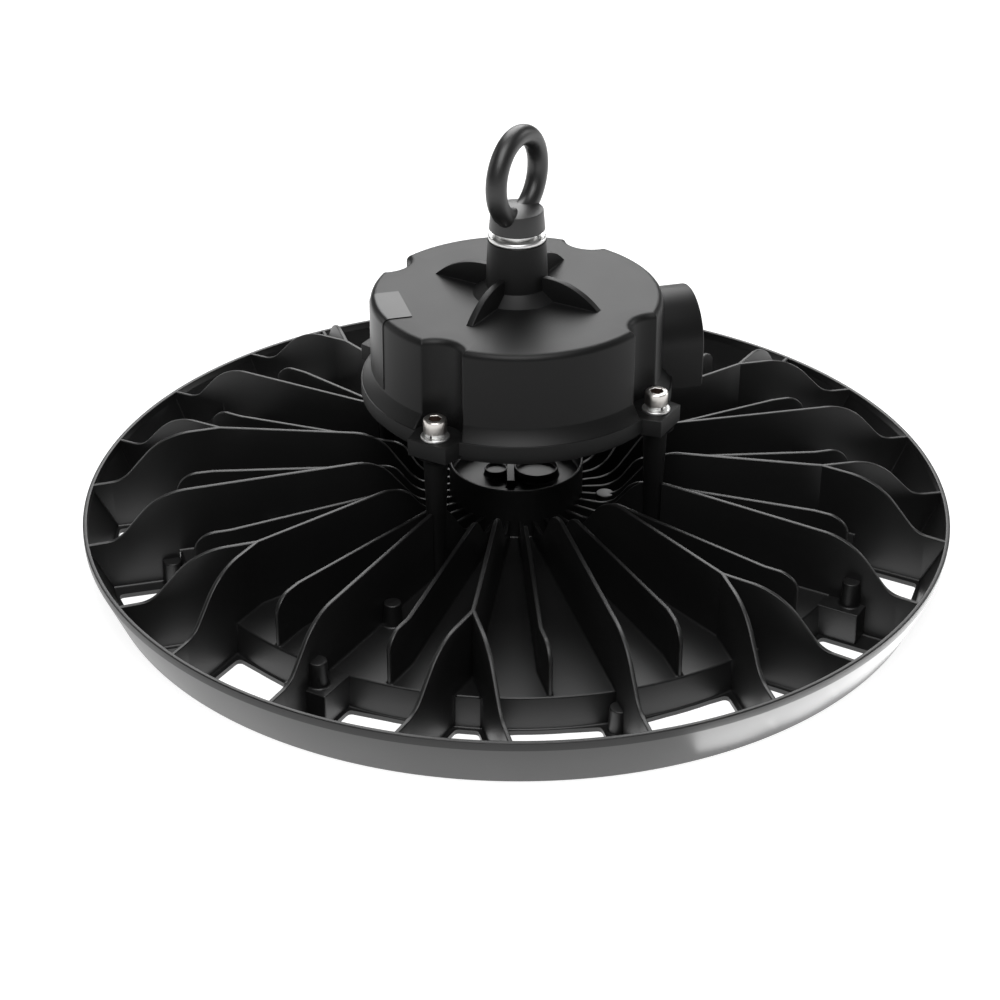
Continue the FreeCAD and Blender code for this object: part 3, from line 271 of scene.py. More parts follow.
def speckled(name, dark, light, rough, metallic=0.0, bump=0.25, specular=0.5):
    """A finish with fine grain: colour between two tones, roughness between two values, bump."""
    material, nodes, links, shader = blank_material(name)
    place = nodes.new("ShaderNodeTexCoord")
    fine = nodes.new("ShaderNodeTexNoise")
    fine.inputs["Scale"].default_value = FINE_GRAIN
    fine.inputs["Detail"].default_value = 2.0
    broad = nodes.new("ShaderNodeTexNoise")
    broad.inputs["Scale"].default_value = BROAD_GRAIN
    broad.inputs["Detail"].default_value = 3.0
    for noise in (fine, broad):
        links.new(place.outputs["Object"], noise.inputs["Vector"])
    tone = nodes.new("ShaderNodeMix")
    tone.data_type = "RGBA"
    tone.inputs["A"].default_value = (*dark, 1.0)
    tone.inputs["B"].default_value = (*light, 1.0)
    links.new(broad.outputs["Fac"], tone.inputs["Factor"])
    links.new(tone.outputs["Result"], shader.inputs["Base Color"])
    spread = nodes.new("ShaderNodeMapRange")
    spread.inputs["To Min"].default_value = rough[0]
    spread.inputs["To Max"].default_value = rough[1]
    links.new(broad.outputs["Fac"], spread.inputs["Value"])
    links.new(spread.outputs["Result"], shader.inputs["Roughness"])
    relief = nodes.new("ShaderNodeBump")
    relief.inputs["Strength"].default_value = bump
    relief.inputs["Distance"].default_value = RELIEF_DEPTH
    links.new(fine.outputs["Fac"], relief.inputs["Height"])
    links.new(relief.outputs["Normal"], shader.inputs["Normal"])
    shader.inputs["Metallic"].default_value = metallic
    shader.inputs["Specular IOR Level"].default_value = specular
    return material


COAT = ((0.0040, 0.0040, 0.0041), (0.0060, 0.0060, 0.0061))
CASTING = speckled("black_powder_coat", *COAT, (0.38, 0.46), specular=0.55)
HOUSING = speckled("black_housing_coat", *COAT, (0.42, 0.50), specular=0.28)
FORGED = speckled("black_eye_coat", (0.0080, 0.0080, 0.0081), (0.0110, 0.0110, 0.0111), (0.36, 0.44),
                  bump=0.1, specular=0.7)
NICKEL = speckled("bright_nickel", (0.64, 0.61, 0.58), (0.72, 0.69, 0.66), (0.26, 0.34),
                  metallic=1.0, bump=0.02)
ZINC = speckled("bright_zinc", (0.80, 0.80, 0.79), (0.88, 0.88, 0.87), (0.32, 0.42),
                metallic=1.0, bump=0.02)
# Dark brown lining for the hex sockets of the screws: painted shade in the recess, not a finish of the
# screw
SOCKET_SHADE = speckled("painted_socket_shade", (0.07, 0.045, 0.035), (0.11, 0.075, 0.06), (0.35, 0.45),
                  metallic=0.6, bump=0.02)
RUBBER = speckled("black_rubber", (0.010, 0.010, 0.010), (0.016, 0.016, 0.016), (0.6, 0.75))
PLATE = speckled("blank_plate", (0.0080, 0.0080, 0.0083), (0.0110, 0.0110, 0.0113), (0.30, 0.36),
                 bump=0.03, specular=0.34)
GLAND = speckled("black_nylon", (0.010, 0.010, 0.011), (0.016, 0.016, 0.017), (0.45, 0.55))
DRIVER = speckled("driver_case", (0.50, 0.51, 0.52), (0.60, 0.61, 0.62), (0.35, 0.50), metallic=1.0)
BOARD = speckled("white_board", (0.74, 0.75, 0.74), (0.82, 0.83, 0.82), (0.30, 0.42), bump=0.1)
LED = speckled("light_source", (0.80, 0.52, 0.06), (0.86, 0.62, 0.12), (0.20, 0.30), bump=0.05)
LENS_HAZE = 60.0
PLASTIC_IOR = 1.49


def clear_plastic():
    """Clear plastic with a slightly uneven gloss."""
    material, nodes, links, shader = blank_material("clear_lens")
    place = nodes.new("ShaderNodeTexCoord")
    haze = nodes.new("ShaderNodeTexNoise")
    haze.inputs["Scale"].default_value = LENS_HAZE
    links.new(place.outputs["Object"], haze.inputs["Vector"])
    spread = nodes.new("ShaderNodeMapRange")
    spread.inputs["To Min"].default_value = 0.10
    spread.inputs["To Max"].default_value = 0.16
    links.new(haze.outputs["Fac"], spread.inputs["Value"])
    links.new(spread.outputs["Result"], shader.inputs["Roughness"])
    shader.inputs["Base Color"].default_value = (0.94, 0.96, 0.97, 1.0)
    shader.inputs["Transmission Weight"].default_value = 1.0
    shader.inputs["IOR"].default_value = PLASTIC_IOR
    return material


LENS = clear_plastic()

# Heatsink: sizes of the casting
RIM = 195.0
RIM_FOOT = 186.3
RIM_TOP = 24.9
LIP_FOOT = 21.2
RIM_WALL = 2.0
FLOOR = 2.0
PLATFORM = 153.7
PLATFORM_FOOT = 154.6
PLATFORM_TOP = 16.6
PLATE_FOOT = 13.4
CUP = 30.2
CUP_WALL = 1.0
CUP_TOP = 40.4
CUP_FLOOR = 32.2
HUB_HOLLOW = 26.0
HALF_FIN = 0.95
MID_WALL = RIM - RIM_WALL / 2
FORK = 137.0
FORK_SPREAD = math.radians(6.56)
FIN_START = 29.7
SHORT_END = 153.3
SHORT_TOP = 39.0
SHORT_TIP = 153.0
BEND_START = 136.8
BEND_REACH = 2.8
SLOT_START = 156.5
SLOT_END = 183.2
SLOT_CORNER = 2.0
LENS_SEAT = 151.2
SEAT_TOP = 6.2
RING_OPENING = 146.0
INNER_EDGE = 155.6
OUTER_EDGE = 183.9
# A fin that meets a leg ends at the second of these distances and goes on from the third
LEG_GAP = (64.0, 65.6, 73.4, 75.0)
FITTINGS_TURN = -15
WIRE_HOLE = 5.0
WIRE_HOLE_PLACE = (75, 20.0)
# Reach from the middle of the cup, radius, top and recess of each post
POSTS = ((-9.2, 5.15, 35.7, 1.0), (9.2, 9.9, 36.7, 2.5))
POST_WALL = 0.7
BLOCK_START = 152.4
BLOCK_END = 171.0
HALF_BLOCK = 10.1
# Places of the pins: distance along their azimuth and across it
PIN_RADIUS = 4.0
INNER_PIN = (112.0, 4.6)
INNER_PIN_TOP = 26.9
BLOCK_PIN = (164.3, 2.75)
BLOCK_PIN_TOP = 28.0
FLOOR_PIN_RADIUS = 4.5
FLOOR_PIN_TOP = 13.0
SIDE_PIN = (158.0, 2.5)
END_PIN = (159.6, -0.9)
HUB_PIN = (40.7, 0.0)
HUB_PIN_TOP = 25.6
HUB_PIN_RADIUS = 4.4
TALL_CREST = rounded([(0.0, 25.0), (45.2, 25.0, 13.0), (63.8, 48.8, 21.0), (161.5, 46.3, 28.0),
                      (180.4, 25.4, 12.0), (MID_WALL + 1, 24.8)])
SHORT_CREST = rounded([(0.0, 25.0), (44.9, 25.0, 13.0), (55.0, SHORT_TOP, 10.0),
                       (SHORT_END, SHORT_TOP, 9.5), (SHORT_END, 17.0)])


def floor_under(radius):
    """The height on which a fin stands, out to the sloping wall of the rim."""
    if radius < PLATFORM_FOOT - 0.25:
        return PLATFORM_TOP
    slope = (LIP_FOOT - FLOOR) / (RIM - RIM_FOOT)
    return max(FLOOR, FLOOR + (radius - RIM_FOOT + RIM_WALL) * slope)


def tall_top(radius):
    """The height of the crest of a forked or single fin."""
    return height_on(TALL_CREST, radius)


def short_top(radius):
    """The height of the crest of a short fin."""
    return height_on(SHORT_CREST, min(radius, SHORT_END - 0.01))


def stations(start, end, crest):
    """Distances along a fin at which its crest, foot or direction changes, with none far apart."""
    marks = [start, end, PLATFORM_FOOT - 0.26, PLATFORM_FOOT - 0.24, RIM_FOOT - RIM_WALL]
    marks += [p.x for p in crest]
    marks = sorted({round(m, 3) for m in marks if start <= m <= end})
    filled = [marks[0]]
    for mark in marks[1:]:
        steps = math.ceil((mark - filled[-1]) / 12.0)
        base = filled[-1]
        filled += [base + (mark - base) * k / steps for k in range(1, steps + 1)]
    return filled


def fork_arm(side):
    """The end of one arm of a fork, on the middle of the rim wall."""
    return Vector((MID_WALL * math.cos(FORK_SPREAD), side * MID_WALL * math.sin(FORK_SPREAD)))


def arm_point(side, radius):
    """The point on an arm of a fork at a distance from the axis of the light."""
    start, end = Vector((FORK, 0.0)), fork_arm(side)
    low, high = 0.0, 1.0
    for _ in range(30):
        middle = (low + high) / 2
        if start.lerp(end, middle).length < radius:
            low = middle
        else:
            high = middle
    return start.lerp(end, low)


def turned(outline, azimuth):
    """The outline turned about the axis of the light."""
    return [around(azimuth, p.x, p.y).to_2d() for p in outline]


def slot_outlines():
    """The outlines of the slots through the floor ring in one sector, fork in the middle."""
    run = MID_WALL * math.cos(FORK_SPREAD) - FORK
    rise = MID_WALL * math.sin(FORK_SPREAD)
    found = []
    fork = []
    for radius, side in ((SLOT_START, -1), (SLOT_END, -1), (SLOT_END, 1), (SLOT_START, 1)):
        fork.append((radius, side * (rise * (radius - FORK) / run - 3.2), SLOT_CORNER))
    found.append(turned(rounded(fork, closed=True), SECTOR / 2))
    for azimuth, side, margins in ((0, 1, (7.5, 11.4)), (SECTOR, -1, (11.4, 7.5))):
        pair = []
        for margin in margins:
            corners = [(SLOT_START, side * margin, SLOT_CORNER), (SLOT_END, side * margin, SLOT_CORNER)]
            for radius in (SLOT_END, SLOT_START):
                spread = rise * (radius * math.cos(FORK_SPREAD) - FORK) / run + 4.2
                angle = math.radians(SECTOR / 2) - math.asin(spread / radius)
                corners.append((radius * math.cos(angle), side * radius * math.sin(angle), SLOT_CORNER))
            if side < 0:
                corners.reverse()
            pair.append(turned(rounded(corners, closed=True), azimuth))
        found.append(pair)
    return found


heatsink = Shape()
fork_slot, after_fin, before_fin = slot_outlines()
slots = []
for sector in range(8):
    turn = SECTOR * sector
    near_leg = sector % 2
    slots.append(turned(fork_slot, turn))
    slots.append(turned(after_fin[near_leg], turn))
    slots.append(turned(before_fin[near_leg], turn))
heatsink.plate(ring(OUTER_EDGE, 192), [ring(INNER_EDGE, 192)] + slots, 0.0, FLOOR)
heatsink.lathe([(HUB_HOLLOW, PLATFORM_TOP), (PLATFORM, PLATFORM_TOP, 0.9), (PLATFORM_FOOT, FLOOR, 0.9),
                (INNER_EDGE, FLOOR), (INNER_EDGE, 0.0), (LENS_SEAT, 0.0, 0.5), (LENS_SEAT, SEAT_TOP),
                (RING_OPENING, SEAT_TOP, 0.5), (RING_OPENING, PLATE_FOOT, 0.8), (HUB_HOLLOW, PLATE_FOOT)],
               steps=192)
heatsink.lathe([(OUTER_EDGE, FLOOR), (RIM_FOOT - RIM_WALL, FLOOR, 0.35), (RIM - RIM_WALL, LIP_FOOT, 2.0),
                (RIM - RIM_WALL, RIM_TOP, 0.55), (RIM, RIM_TOP, 0.55), (RIM, LIP_FOOT, 0.6),
                (RIM_FOOT, 0.0, 1.2), (OUTER_EDGE, 0.0)], steps=288)
wire_hole = turned(ring(WIRE_HOLE, 32, (WIRE_HOLE_PLACE[1], 0.0)), WIRE_HOLE_PLACE[0])
heatsink.plate(ring(CUP - 0.5, 96), [wire_hole], CUP_FLOOR - 3.2, CUP_FLOOR)
heatsink.lathe([(HUB_HOLLOW, PLATE_FOOT + 0.1), (CUP - 0.5, PLATE_FOOT + 0.1), (CUP - 0.5, CUP_FLOOR - 3.2),
                (HUB_HOLLOW, CUP_FLOOR - 3.2)])
heatsink.lathe([(CUP - 2.4, CUP_FLOOR - 0.3), (CUP - 2.4, CUP_FLOOR + 0.02),
                (CUP - CUP_WALL, CUP_FLOOR, 1.0), (CUP - CUP_WALL, CUP_TOP, 0.35), (CUP, CUP_TOP, 0.35),
                (CUP, PLATFORM_TOP, 1.2), (CUP + 3, PLATFORM_TOP - 0.05), (CUP + 3, PLATFORM_TOP - 0.4),
                (CUP - 0.5, PLATFORM_TOP - 0.4), (CUP - 0.5, CUP_FLOOR - 0.3)])
for reach, radius, top, recess in POSTS:
    heatsink.lathe([(0.0, CUP_FLOOR - 0.4), (0.0, top - recess), (radius - POST_WALL, top - recess, 0.5),
                    (radius - POST_WALL, top, 0.3), (radius, top, 0.3), (radius, CUP_FLOOR, 0.8),
                    (radius + 1.5, CUP_FLOOR - 0.02), (radius + 1.5, CUP_FLOOR - 0.4)], steps=64,
                   matrix=stand(FITTINGS_TURN, reach))
heatsink.wall([(-2.45, -12.1), (-2.45, -11.0), (-2.45, 11.0), (-2.45, 12.1)], 1.75, lambda r: POSTS[0][2],
              lambda r: CUP_FLOOR, crest=0.4, matrix=spun(FITTINGS_TURN))


def pin(azimuth, along, across, foot, top, radius=PIN_RADIUS):
    """A slightly tapered round pin with a fillet at its foot."""
    heatsink.lathe([(0.0, foot - SUNK), (0.0, top), (radius - 0.3, top, 0.6), (radius + 0.2, foot, 0.9),
                    (radius + 2, foot - 0.02), (radius + 2, foot - SUNK)], steps=40,
                   matrix=stand(azimuth, along, across))


for number in range(8):
    azimuth = SECTOR * number
    radii = stations(FIN_START, MID_WALL, TALL_CREST)
    parts = [radii]
    if number % 2:
        parts = [[r for r in radii if r < LEG_GAP[0]] + [LEG_GAP[1]],
                 [LEG_GAP[2]] + [r for r in radii if r > LEG_GAP[3]]]
    for part in parts:
        heatsink.wall([(r, 0.0) for r in part], HALF_FIN, tall_top, floor_under, matrix=spun(azimuth))
    trunk = [(r, 0.0) for r in stations(FIN_START, FORK, TALL_CREST)]
    arm_radii = stations(FORK, MID_WALL, TALL_CREST)
    for side, drop in ((1, 0.0), (-1, 0.03)):
        arm = [arm_point(side, r) for r in arm_radii[1:]]
        start = trunk if side > 0 else [(FORK, 0.0)]
        heatsink.wall(start + arm, HALF_FIN, lambda r, drop=drop: tall_top(r) - drop, floor_under,
                      matrix=spun(azimuth + SECTOR / 2))
    for turn, side in ((SECTOR / 4, -1), (-SECTOR / 4, 1)):
        path = [(r, 0.0) for r in stations(FIN_START, BEND_START, SHORT_CREST)]
        bent = stations(BEND_START, SHORT_TIP, SHORT_CREST)[1:]
        path += [(r, side * BEND_REACH * (r - BEND_START) / (SHORT_TIP - BEND_START)) for r in bent]
        heatsink.wall(path, HALF_FIN, short_top, floor_under, round_end=True, matrix=spun(azimuth + turn))
    pin(azimuth, *INNER_PIN, PLATFORM_TOP, INNER_PIN_TOP)
for number in range(4):
    azimuth = SECTOR + QUARTER * number
    block = rounded([(BLOCK_START, -HALF_BLOCK), (BLOCK_END, -HALF_BLOCK, 0.8),
                     (BLOCK_END, HALF_BLOCK, 0.8), (BLOCK_START, HALF_BLOCK)], closed=True)
    heatsink.plate(block, [], FLOOR - SUNK, PLATFORM_TOP, edge=0.5, foot_edge=0.0, matrix=spun(azimuth))
    pin(azimuth, BLOCK_PIN[0], -BLOCK_PIN[1] if number % 2 else BLOCK_PIN[1], PLATFORM_TOP, BLOCK_PIN_TOP)
for azimuth in (0, 2 * QUARTER):
    pin(azimuth, *SIDE_PIN, FLOOR, FLOOR_PIN_TOP, radius=FLOOR_PIN_RADIUS)
    pin(azimuth + QUARTER, *END_PIN, FLOOR, FLOOR_PIN_TOP, radius=FLOOR_PIN_RADIUS)
pin(-SECTOR / 2, *HUB_PIN, PLATFORM_TOP, HUB_PIN_TOP, radius=HUB_PIN_RADIUS)
heatsink.build("heatsink_casting", CASTING, "casting", ["heatsink"])

# Driver housing
PARTING = 77.0
FLANGE = 68.7
FLANGE_TOP = 83.3
COVER_TOP = 122.9
LEG_PLACE = 68.8
SCALLOP = 11.5
SCALLOP_CORNER = 1.0
TOP_ROUND = 3.0
WALL_TOP = 63.6
SCREW_HOLE = 3.2
BASE = 66.0
EYE_BORE = 5.2
BOSS_TOP = 147.9
BOSS_FOOT = 19.1
RIB_HEIGHT = 10.2
RIB_END = 40.5
HALF_RIB = 1.5
CABLE_HEIGHT = 95.1
CABLE_BORE = 10.0
HALF_SIDE_BOSS = 20.7


def lugged_circle(radius, lug_reach=76.0, lug_half=9.3, root=60.0, root_half=12.4, corner=0.3):
    """A circle with four tapered lugs, counter-clockwise from the first lug."""
    slope = (lug_half - root_half) / (lug_reach - root)
    along = radius
    for _ in range(20):
        along = math.sqrt(radius ** 2 - (root_half + slope * (along - root)) ** 2)
    meet = math.atan2(root_half + slope * (along - root), along)
    outline = []
    for number in range(4):
        azimuth = SECTOR + QUARTER * number
        lug = rounded([(along, -radius * math.sin(meet)), (lug_reach, -lug_half, corner),
                       (lug_reach, lug_half, corner), (along, radius * math.sin(meet))])
        outline += turned(lug, azimuth)
        start = math.radians(azimuth) + meet
        end = math.radians(azimuth + QUARTER) - meet
        outline += [Vector((radius * math.cos(start + (end - start) * k / 24),
                            radius * math.sin(start + (end - start) * k / 24))) for k in range(1, 24)]
    return outline


def scalloped_circle(radius, scallop, corner):
    """A circle with four scallops around the screws, its corners rounded."""
    near = radius - corner
    far = scallop + corner
    along = (near ** 2 + LEG_PLACE ** 2 - far ** 2) / (2 * LEG_PLACE)
    across = math.sqrt(near ** 2 - along ** 2)
    outline = []
    steps = 8
    for number in range(4):
        azimuth = math.radians(SECTOR + QUARTER * number)
        quarter = []
        lower = math.atan2(-across, along)
        toward = math.atan2(across, LEG_PLACE - along)
        for k in range(steps + 1):
            angle = lower + (toward - lower) * k / steps
            quarter.append(Vector((along + corner * math.cos(angle), -across + corner * math.sin(angle))))
        start = math.pi + toward
        for k in range(1, 2 * steps):
            angle = start - 2 * toward * k / (2 * steps)
            quarter.append(Vector((LEG_PLACE + scallop * math.cos(angle), scallop * math.sin(angle))))
        for k in range(steps + 1):
            angle = -toward + (toward - lower) * k / steps
            quarter.append(Vector((along + corner * math.cos(angle), across + corner * math.sin(angle))))
        outline += turned(quarter, math.degrees(azimuth))
        first = azimuth - lower
        last = azimuth + math.pi / 2 + lower
        outline += [Vector((radius * math.cos(first + (last - first) * k / 24),
                            radius * math.sin(first + (last - first) * k / 24))) for k in range(1, 24)]
    return outline


cover = Shape()
screw_holes = [turned(ring(SCREW_HOLE, 24, (LEG_PLACE, 0.0)), SECTOR + QUARTER * n) for n in range(4)]
cover.plate(lugged_circle(FLANGE), screw_holes, PARTING, FLANGE_TOP, edge=0.3, hole_edge=0.2, foot_edge=0.0)
levels = [(68.35, 0.0, FLANGE_TOP - 0.2), (68.1, 0.0, FLANGE_TOP), (64.05, 0.0, 88.9), (63.88, 0.0, 89.4),
          (63.62, 0.0, COVER_TOP - TOP_ROUND)]
for k in range(1, 7):
    angle = math.radians(15 * k)
    levels.append((WALL_TOP, TOP_ROUND * (1 - math.cos(angle)),
                   COVER_TOP - TOP_ROUND * (1 - math.sin(angle))))
rows = []
for radius, pulled, height in levels:
    outline = scalloped_circle(radius - pulled, SCALLOP + pulled, max(0.25, SCALLOP_CORNER - pulled * 0.35))
    rows.append([Vector((p.x, p.y, height)) for p in outline])
for share in (0.85, 0.6, 0.35, 0.0):
    rows.append([Vector((p.x * share, p.y * share, COVER_TOP)) for p in rows[len(levels) - 1]])
rows.insert(0, [Vector((0.0, 0.0, FLANGE_TOP - 0.2)) for p in rows[0]])
cover.grid(rows, round_rows=True)
cover.lathe([(EYE_BORE, COVER_TOP - 3), (EYE_BORE, BOSS_TOP), (12.7, BOSS_TOP, 0.5), (13.5, 127.1, 0.35),
             (BOSS_FOOT, COVER_TOP, 0.25), (20.0, COVER_TOP - 0.02), (20.0, COVER_TOP - 3)])
RIB_CREST = rounded([(0.0, COVER_TOP + RIB_HEIGHT), (29.8, COVER_TOP + RIB_HEIGHT, 34.0),
                     (RIB_END, COVER_TOP), (RIB_END + 0.5, COVER_TOP)])
for number in range(4):
    reach = [8.0] + [p.x for p in RIB_CREST if 8.0 < p.x < 40.2] + [39.2, 39.8, 40.3]
    cover.wall([(r, 0.0) for r in sorted(reach)], HALF_RIB, lambda r: height_on(RIB_CREST, r),
               lambda r: COVER_TOP, crest=0.35, flare=0.35, matrix=spun(SECTOR + QUARTER * number))
upright = Matrix(((0, 0, 1, 0), (1, 0, 0, 0), (0, 1, 0, 0), (0, 0, 0, 1)))
arch = rounded([(-HALF_SIDE_BOSS, PARTING + 0.1), (HALF_SIDE_BOSS, PARTING + 0.1),
                (HALF_SIDE_BOSS, 115.8, 20.6), (-HALF_SIDE_BOSS, 115.8, 20.6)], closed=True)
cover.plate(arch, [ring(CABLE_BORE, 48, (0.0, CABLE_HEIGHT))], 57.0, 80.1, edge=1.0, hole_edge=0.6,
            foot_edge=0.0, matrix=upright)
cover.build("housing_cover", HOUSING, "housing", ["driver_cover"])

base = Shape()
base.plate(ring(BASE, 128), [], 74.0, PARTING)
base.plate(lugged_circle(BASE), [], PARTING - 1.2, PARTING)
for number in range(4):
    base.lathe([(0.0, PLATFORM_TOP), (3.3, PLATFORM_TOP), (5.25, 73.6, 3.0), (8.2, 75.3), (0.0, 75.3)],
               steps=40, matrix=stand(SECTOR + QUARTER * number, LEG_PLACE))
base.build("housing_base_and_legs", HOUSING, "housing", ["driver_base"])

# Lifting eye with its washers
EYE_SEAT = 152.5
SHANK = 5.0
SHANK_END = 109.9
LOOP_RADIUS = 17.75
LOOP_WIRE = 4.5
LOOP_HEIGHT = 175.95
WASHER_TOP = 149.9
EYE_WASHER = 12.45
eye = Shape()
eye.lathe([(0.0, SHANK_END), (SHANK, SHANK_END, 0.8), (SHANK, EYE_SEAT), (12.15, EYE_SEAT, 0.4),
           (11.3, EYE_SEAT + 8.9, 0.35), (0.0, EYE_SEAT + 10.8)], steps=72)
loop_rows = []
for k in range(97):
    turn = 2 * math.pi * k / 96
    row = []
    for m in range(28):
        angle = 2 * math.pi * m / 28
        out = LOOP_RADIUS + LOOP_WIRE * math.cos(angle)
        row.append(around(SECTOR, out * math.cos(turn), LOOP_WIRE * math.sin(angle),
                          LOOP_HEIGHT + out * math.sin(turn)))
    loop_rows.append(row)
eye.grid(loop_rows, round_rows=True)
eye.build("lifting_eye", FORGED, "forging", ["eye_bolt"], smooth_below=40.0)


def split_ring(outer, inner, thickness, gap, turn, corner=0.25):
    """A spring washer: a square wire in one open turn."""
    half_gap = math.asin(gap / 2 / outer)
    shape = Shape()
    rows = []
    steps = 64
    for k in range(steps + 1):
        angle = math.radians(turn) + half_gap + (2 * math.pi - 2 * half_gap) * k / steps
        section = rounded([(inner, 0.0, 0.25), (outer, 0.0, 0.25), (outer, thickness, corner),
                           (inner, thickness, 0.25)], closed=True)
        rows.append([Vector((p.x * math.cos(angle), p.x * math.sin(angle), p.y)) for p in section])
    shape.grid(rows, round_rows=True, caps=True)
    return shape


def moved(shape, matrix):
    """The shape with all its points moved by a matrix."""
    shape.points = [matrix @ p for p in shape.points]
    return shape


washer = Shape()
washer.lathe([(EYE_BORE, BOSS_TOP, 0.2), (EYE_WASHER, BOSS_TOP, 0.5), (EYE_WASHER, WASHER_TOP, 0.95),
              (EYE_BORE, WASHER_TOP, 0.2)], steps=96)
washer.build("eye_washer", ZINC, "steel", ["eye_flat_washer"])
spring = moved(split_ring(9.2, EYE_BORE, EYE_SEAT - WASHER_TOP, 1.6, 100.0, corner=0.9),
               Matrix.Translation((0, 0, WASHER_TOP)))
spring.build("eye_spring_washer", ZINC, "steel", ["eye_lock_washer"])

# Screws of the cover
SPLIT_TURNS = (-20.0, -30.0, 7.0, -29.0)
FLAT_WASHER = 6.1
FLAT_WASHER_TOP = FLANGE_TOP + 1.2
HEAD = 5.0
HEAD_HEIGHT = 6.0
SOCKET_DEPTH = 3.0
SOCKET_FLATS = 5.0
SOCKET_TURN = 190.0
SCREW = 3.0
SCREW_SEAT = FLANGE_TOP + 3.0
for number in range(4):
    spot = stand(SECTOR + QUARTER * number, LEG_PLACE)
    tag = "_%d" % (number + 1)
    flat = Shape()
    flat.lathe([(SCREW_HOLE, FLANGE_TOP, 0.1), (FLAT_WASHER, FLANGE_TOP, 0.2),
                (FLAT_WASHER, FLAT_WASHER_TOP, 0.35), (SCREW_HOLE, FLAT_WASHER_TOP, 0.1)],
               steps=64, matrix=spot)
    flat.build("washer" + tag, ZINC, "steel", ["flat_washer" + tag])
    spring = moved(split_ring(4.4, SCREW_HOLE, 1.8, 1.0, SPLIT_TURNS[number]),
                   spot @ Matrix.Translation((0, 0, FLAT_WASHER_TOP)))
    spring.build("spring_washer" + tag, ZINC, "steel", ["lock_washer" + tag])
    socket_floor = SCREW_SEAT + HEAD_HEIGHT - SOCKET_DEPTH
    screw = Shape()
    screw.lathe([(0.0, SCREW_SEAT - 14), (SCREW, SCREW_SEAT - 14, 0.5), (SCREW, SCREW_SEAT),
                 (HEAD, SCREW_SEAT, 0.3), (HEAD, socket_floor), (0.0, socket_floor)], steps=64, matrix=spot)
    screw.plate(ring(HEAD, 64), [hexagon(SOCKET_FLATS, SOCKET_TURN)], socket_floor,
                SCREW_SEAT + HEAD_HEIGHT, edge=0.8, hole_edge=0.3, foot_edge=0.0, matrix=spot)
    screw.build("socket_screw" + tag, NICKEL, "steel", ["cap_screw" + tag])
    # A dark sheet lining the walls and floor of the hex socket: painted shade in the recess
    socket = Shape()
    loops = [[Vector((p.x, p.y, z)) for p in hexagon(SOCKET_FLATS - 0.04, SOCKET_TURN)]
             for z in (SCREW_SEAT + HEAD_HEIGHT - 0.3, socket_floor + 0.05)]
    socket.grid(loops, round_rows=True, matrix=spot)
    socket.add(loops[1], [list(range(6))], spot)
    socket.build("painted_shade_lining" + tag, SOCKET_SHADE, "steel")

# Blank plate bent over the edge of the cover
PLATE_START = 49.6
PLATE_END = 90.1
HALF_PLATE = 13.2
plate_line = rounded([(PLATE_START, COVER_TOP + 0.35), (63.95, COVER_TOP + 0.35, 3.35), (64.24, PLATE_END)])
plate_back = rounded([(PLATE_START, COVER_TOP + 0.02), (63.65, COVER_TOP + 0.02, 3.05), (63.94, PLATE_END)])
plate = Shape()
rows = []
for k in range(13):
    across = -HALF_PLATE + 2 * HALF_PLATE * k / 12
    rows.append([Vector((-max(PLATE_START, math.sqrt(p.x ** 2 - across ** 2)), across, p.y))
                 for p in plate_line + plate_back[::-1]])
plate.grid(rows, round_rows=True, caps=True)
plate.build("blank_nameplate", PLATE, "plate", ["nameplate"], smooth_below=35.0)

# Light side
LENS_RADIUS = 151.0
LENS_BOTTOM = 2.5
LENS_TOP = 5.5
lens = Shape()
lens.lathe([(0.0, LENS_BOTTOM), (LENS_RADIUS, LENS_BOTTOM, 0.4), (LENS_RADIUS, LENS_TOP, 0.4),
            (0.0, LENS_TOP)], steps=192)
lens.build("clear_lens", LENS, "lens", ["lens_cover"])
for node, material in (("cover_gasket", RUBBER), ("lens_gasket", RUBBER), ("eye_nut", NICKEL),
                       ("leg_bolts", NICKEL), ("driver_module", DRIVER), ("cable_gland", GLAND),
                       ("vent_plug", GLAND), ("led_board", BOARD), ("leds", LED), ("lens_ring", CASTING),
                       ("lens_ring_screws", NICKEL)):
    node_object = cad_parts[node]
    node_object.data.materials.clear()
    node_object.data.materials.append(material)


# Floor, lamps and camera

FLOOR_TONE = 0.40
FLOOR_GLOW = 0.86
HALF_FLOOR = 6.0
SURROUND = 0.08
MIDDLE = (0.0, 0.0, 0.1)


def white_floor():
    """A pale floor that takes shadows and looks white to the camera and in reflections."""
    material, nodes, links, shader = blank_material("white_floor")
    shader.inputs["Base Color"].default_value = (FLOOR_TONE, FLOOR_TONE, FLOOR_TONE, 1.0)
    shader.inputs["Roughness"].default_value = 0.9
    grain = nodes.new("ShaderNodeTexNoise")
    grain.inputs["Scale"].default_value = 40.0
    relief = nodes.new("ShaderNodeBump")
    relief.inputs["Strength"].default_value = 0.02
    links.new(grain.outputs["Fac"], relief.inputs["Height"])
    links.new(relief.outputs["Normal"], shader.inputs["Normal"])
    seen = seen_directly(nodes, links)
    glow = nodes.new("ShaderNodeEmission")
    glow.inputs["Color"].default_value = (1.0, 1.0, 1.0, 1.0)
    links.new(seen, glow.inputs["Strength"])
    both = nodes.new("ShaderNodeAddShader")
    links.new(shader.outputs["BSDF"], both.inputs[0])
    links.new(glow.outputs["Emission"], both.inputs[1])
    output = next(n for n in nodes if n.type == "OUTPUT_MATERIAL")
    links.new(both.outputs["Shader"], output.inputs["Surface"])
    return material


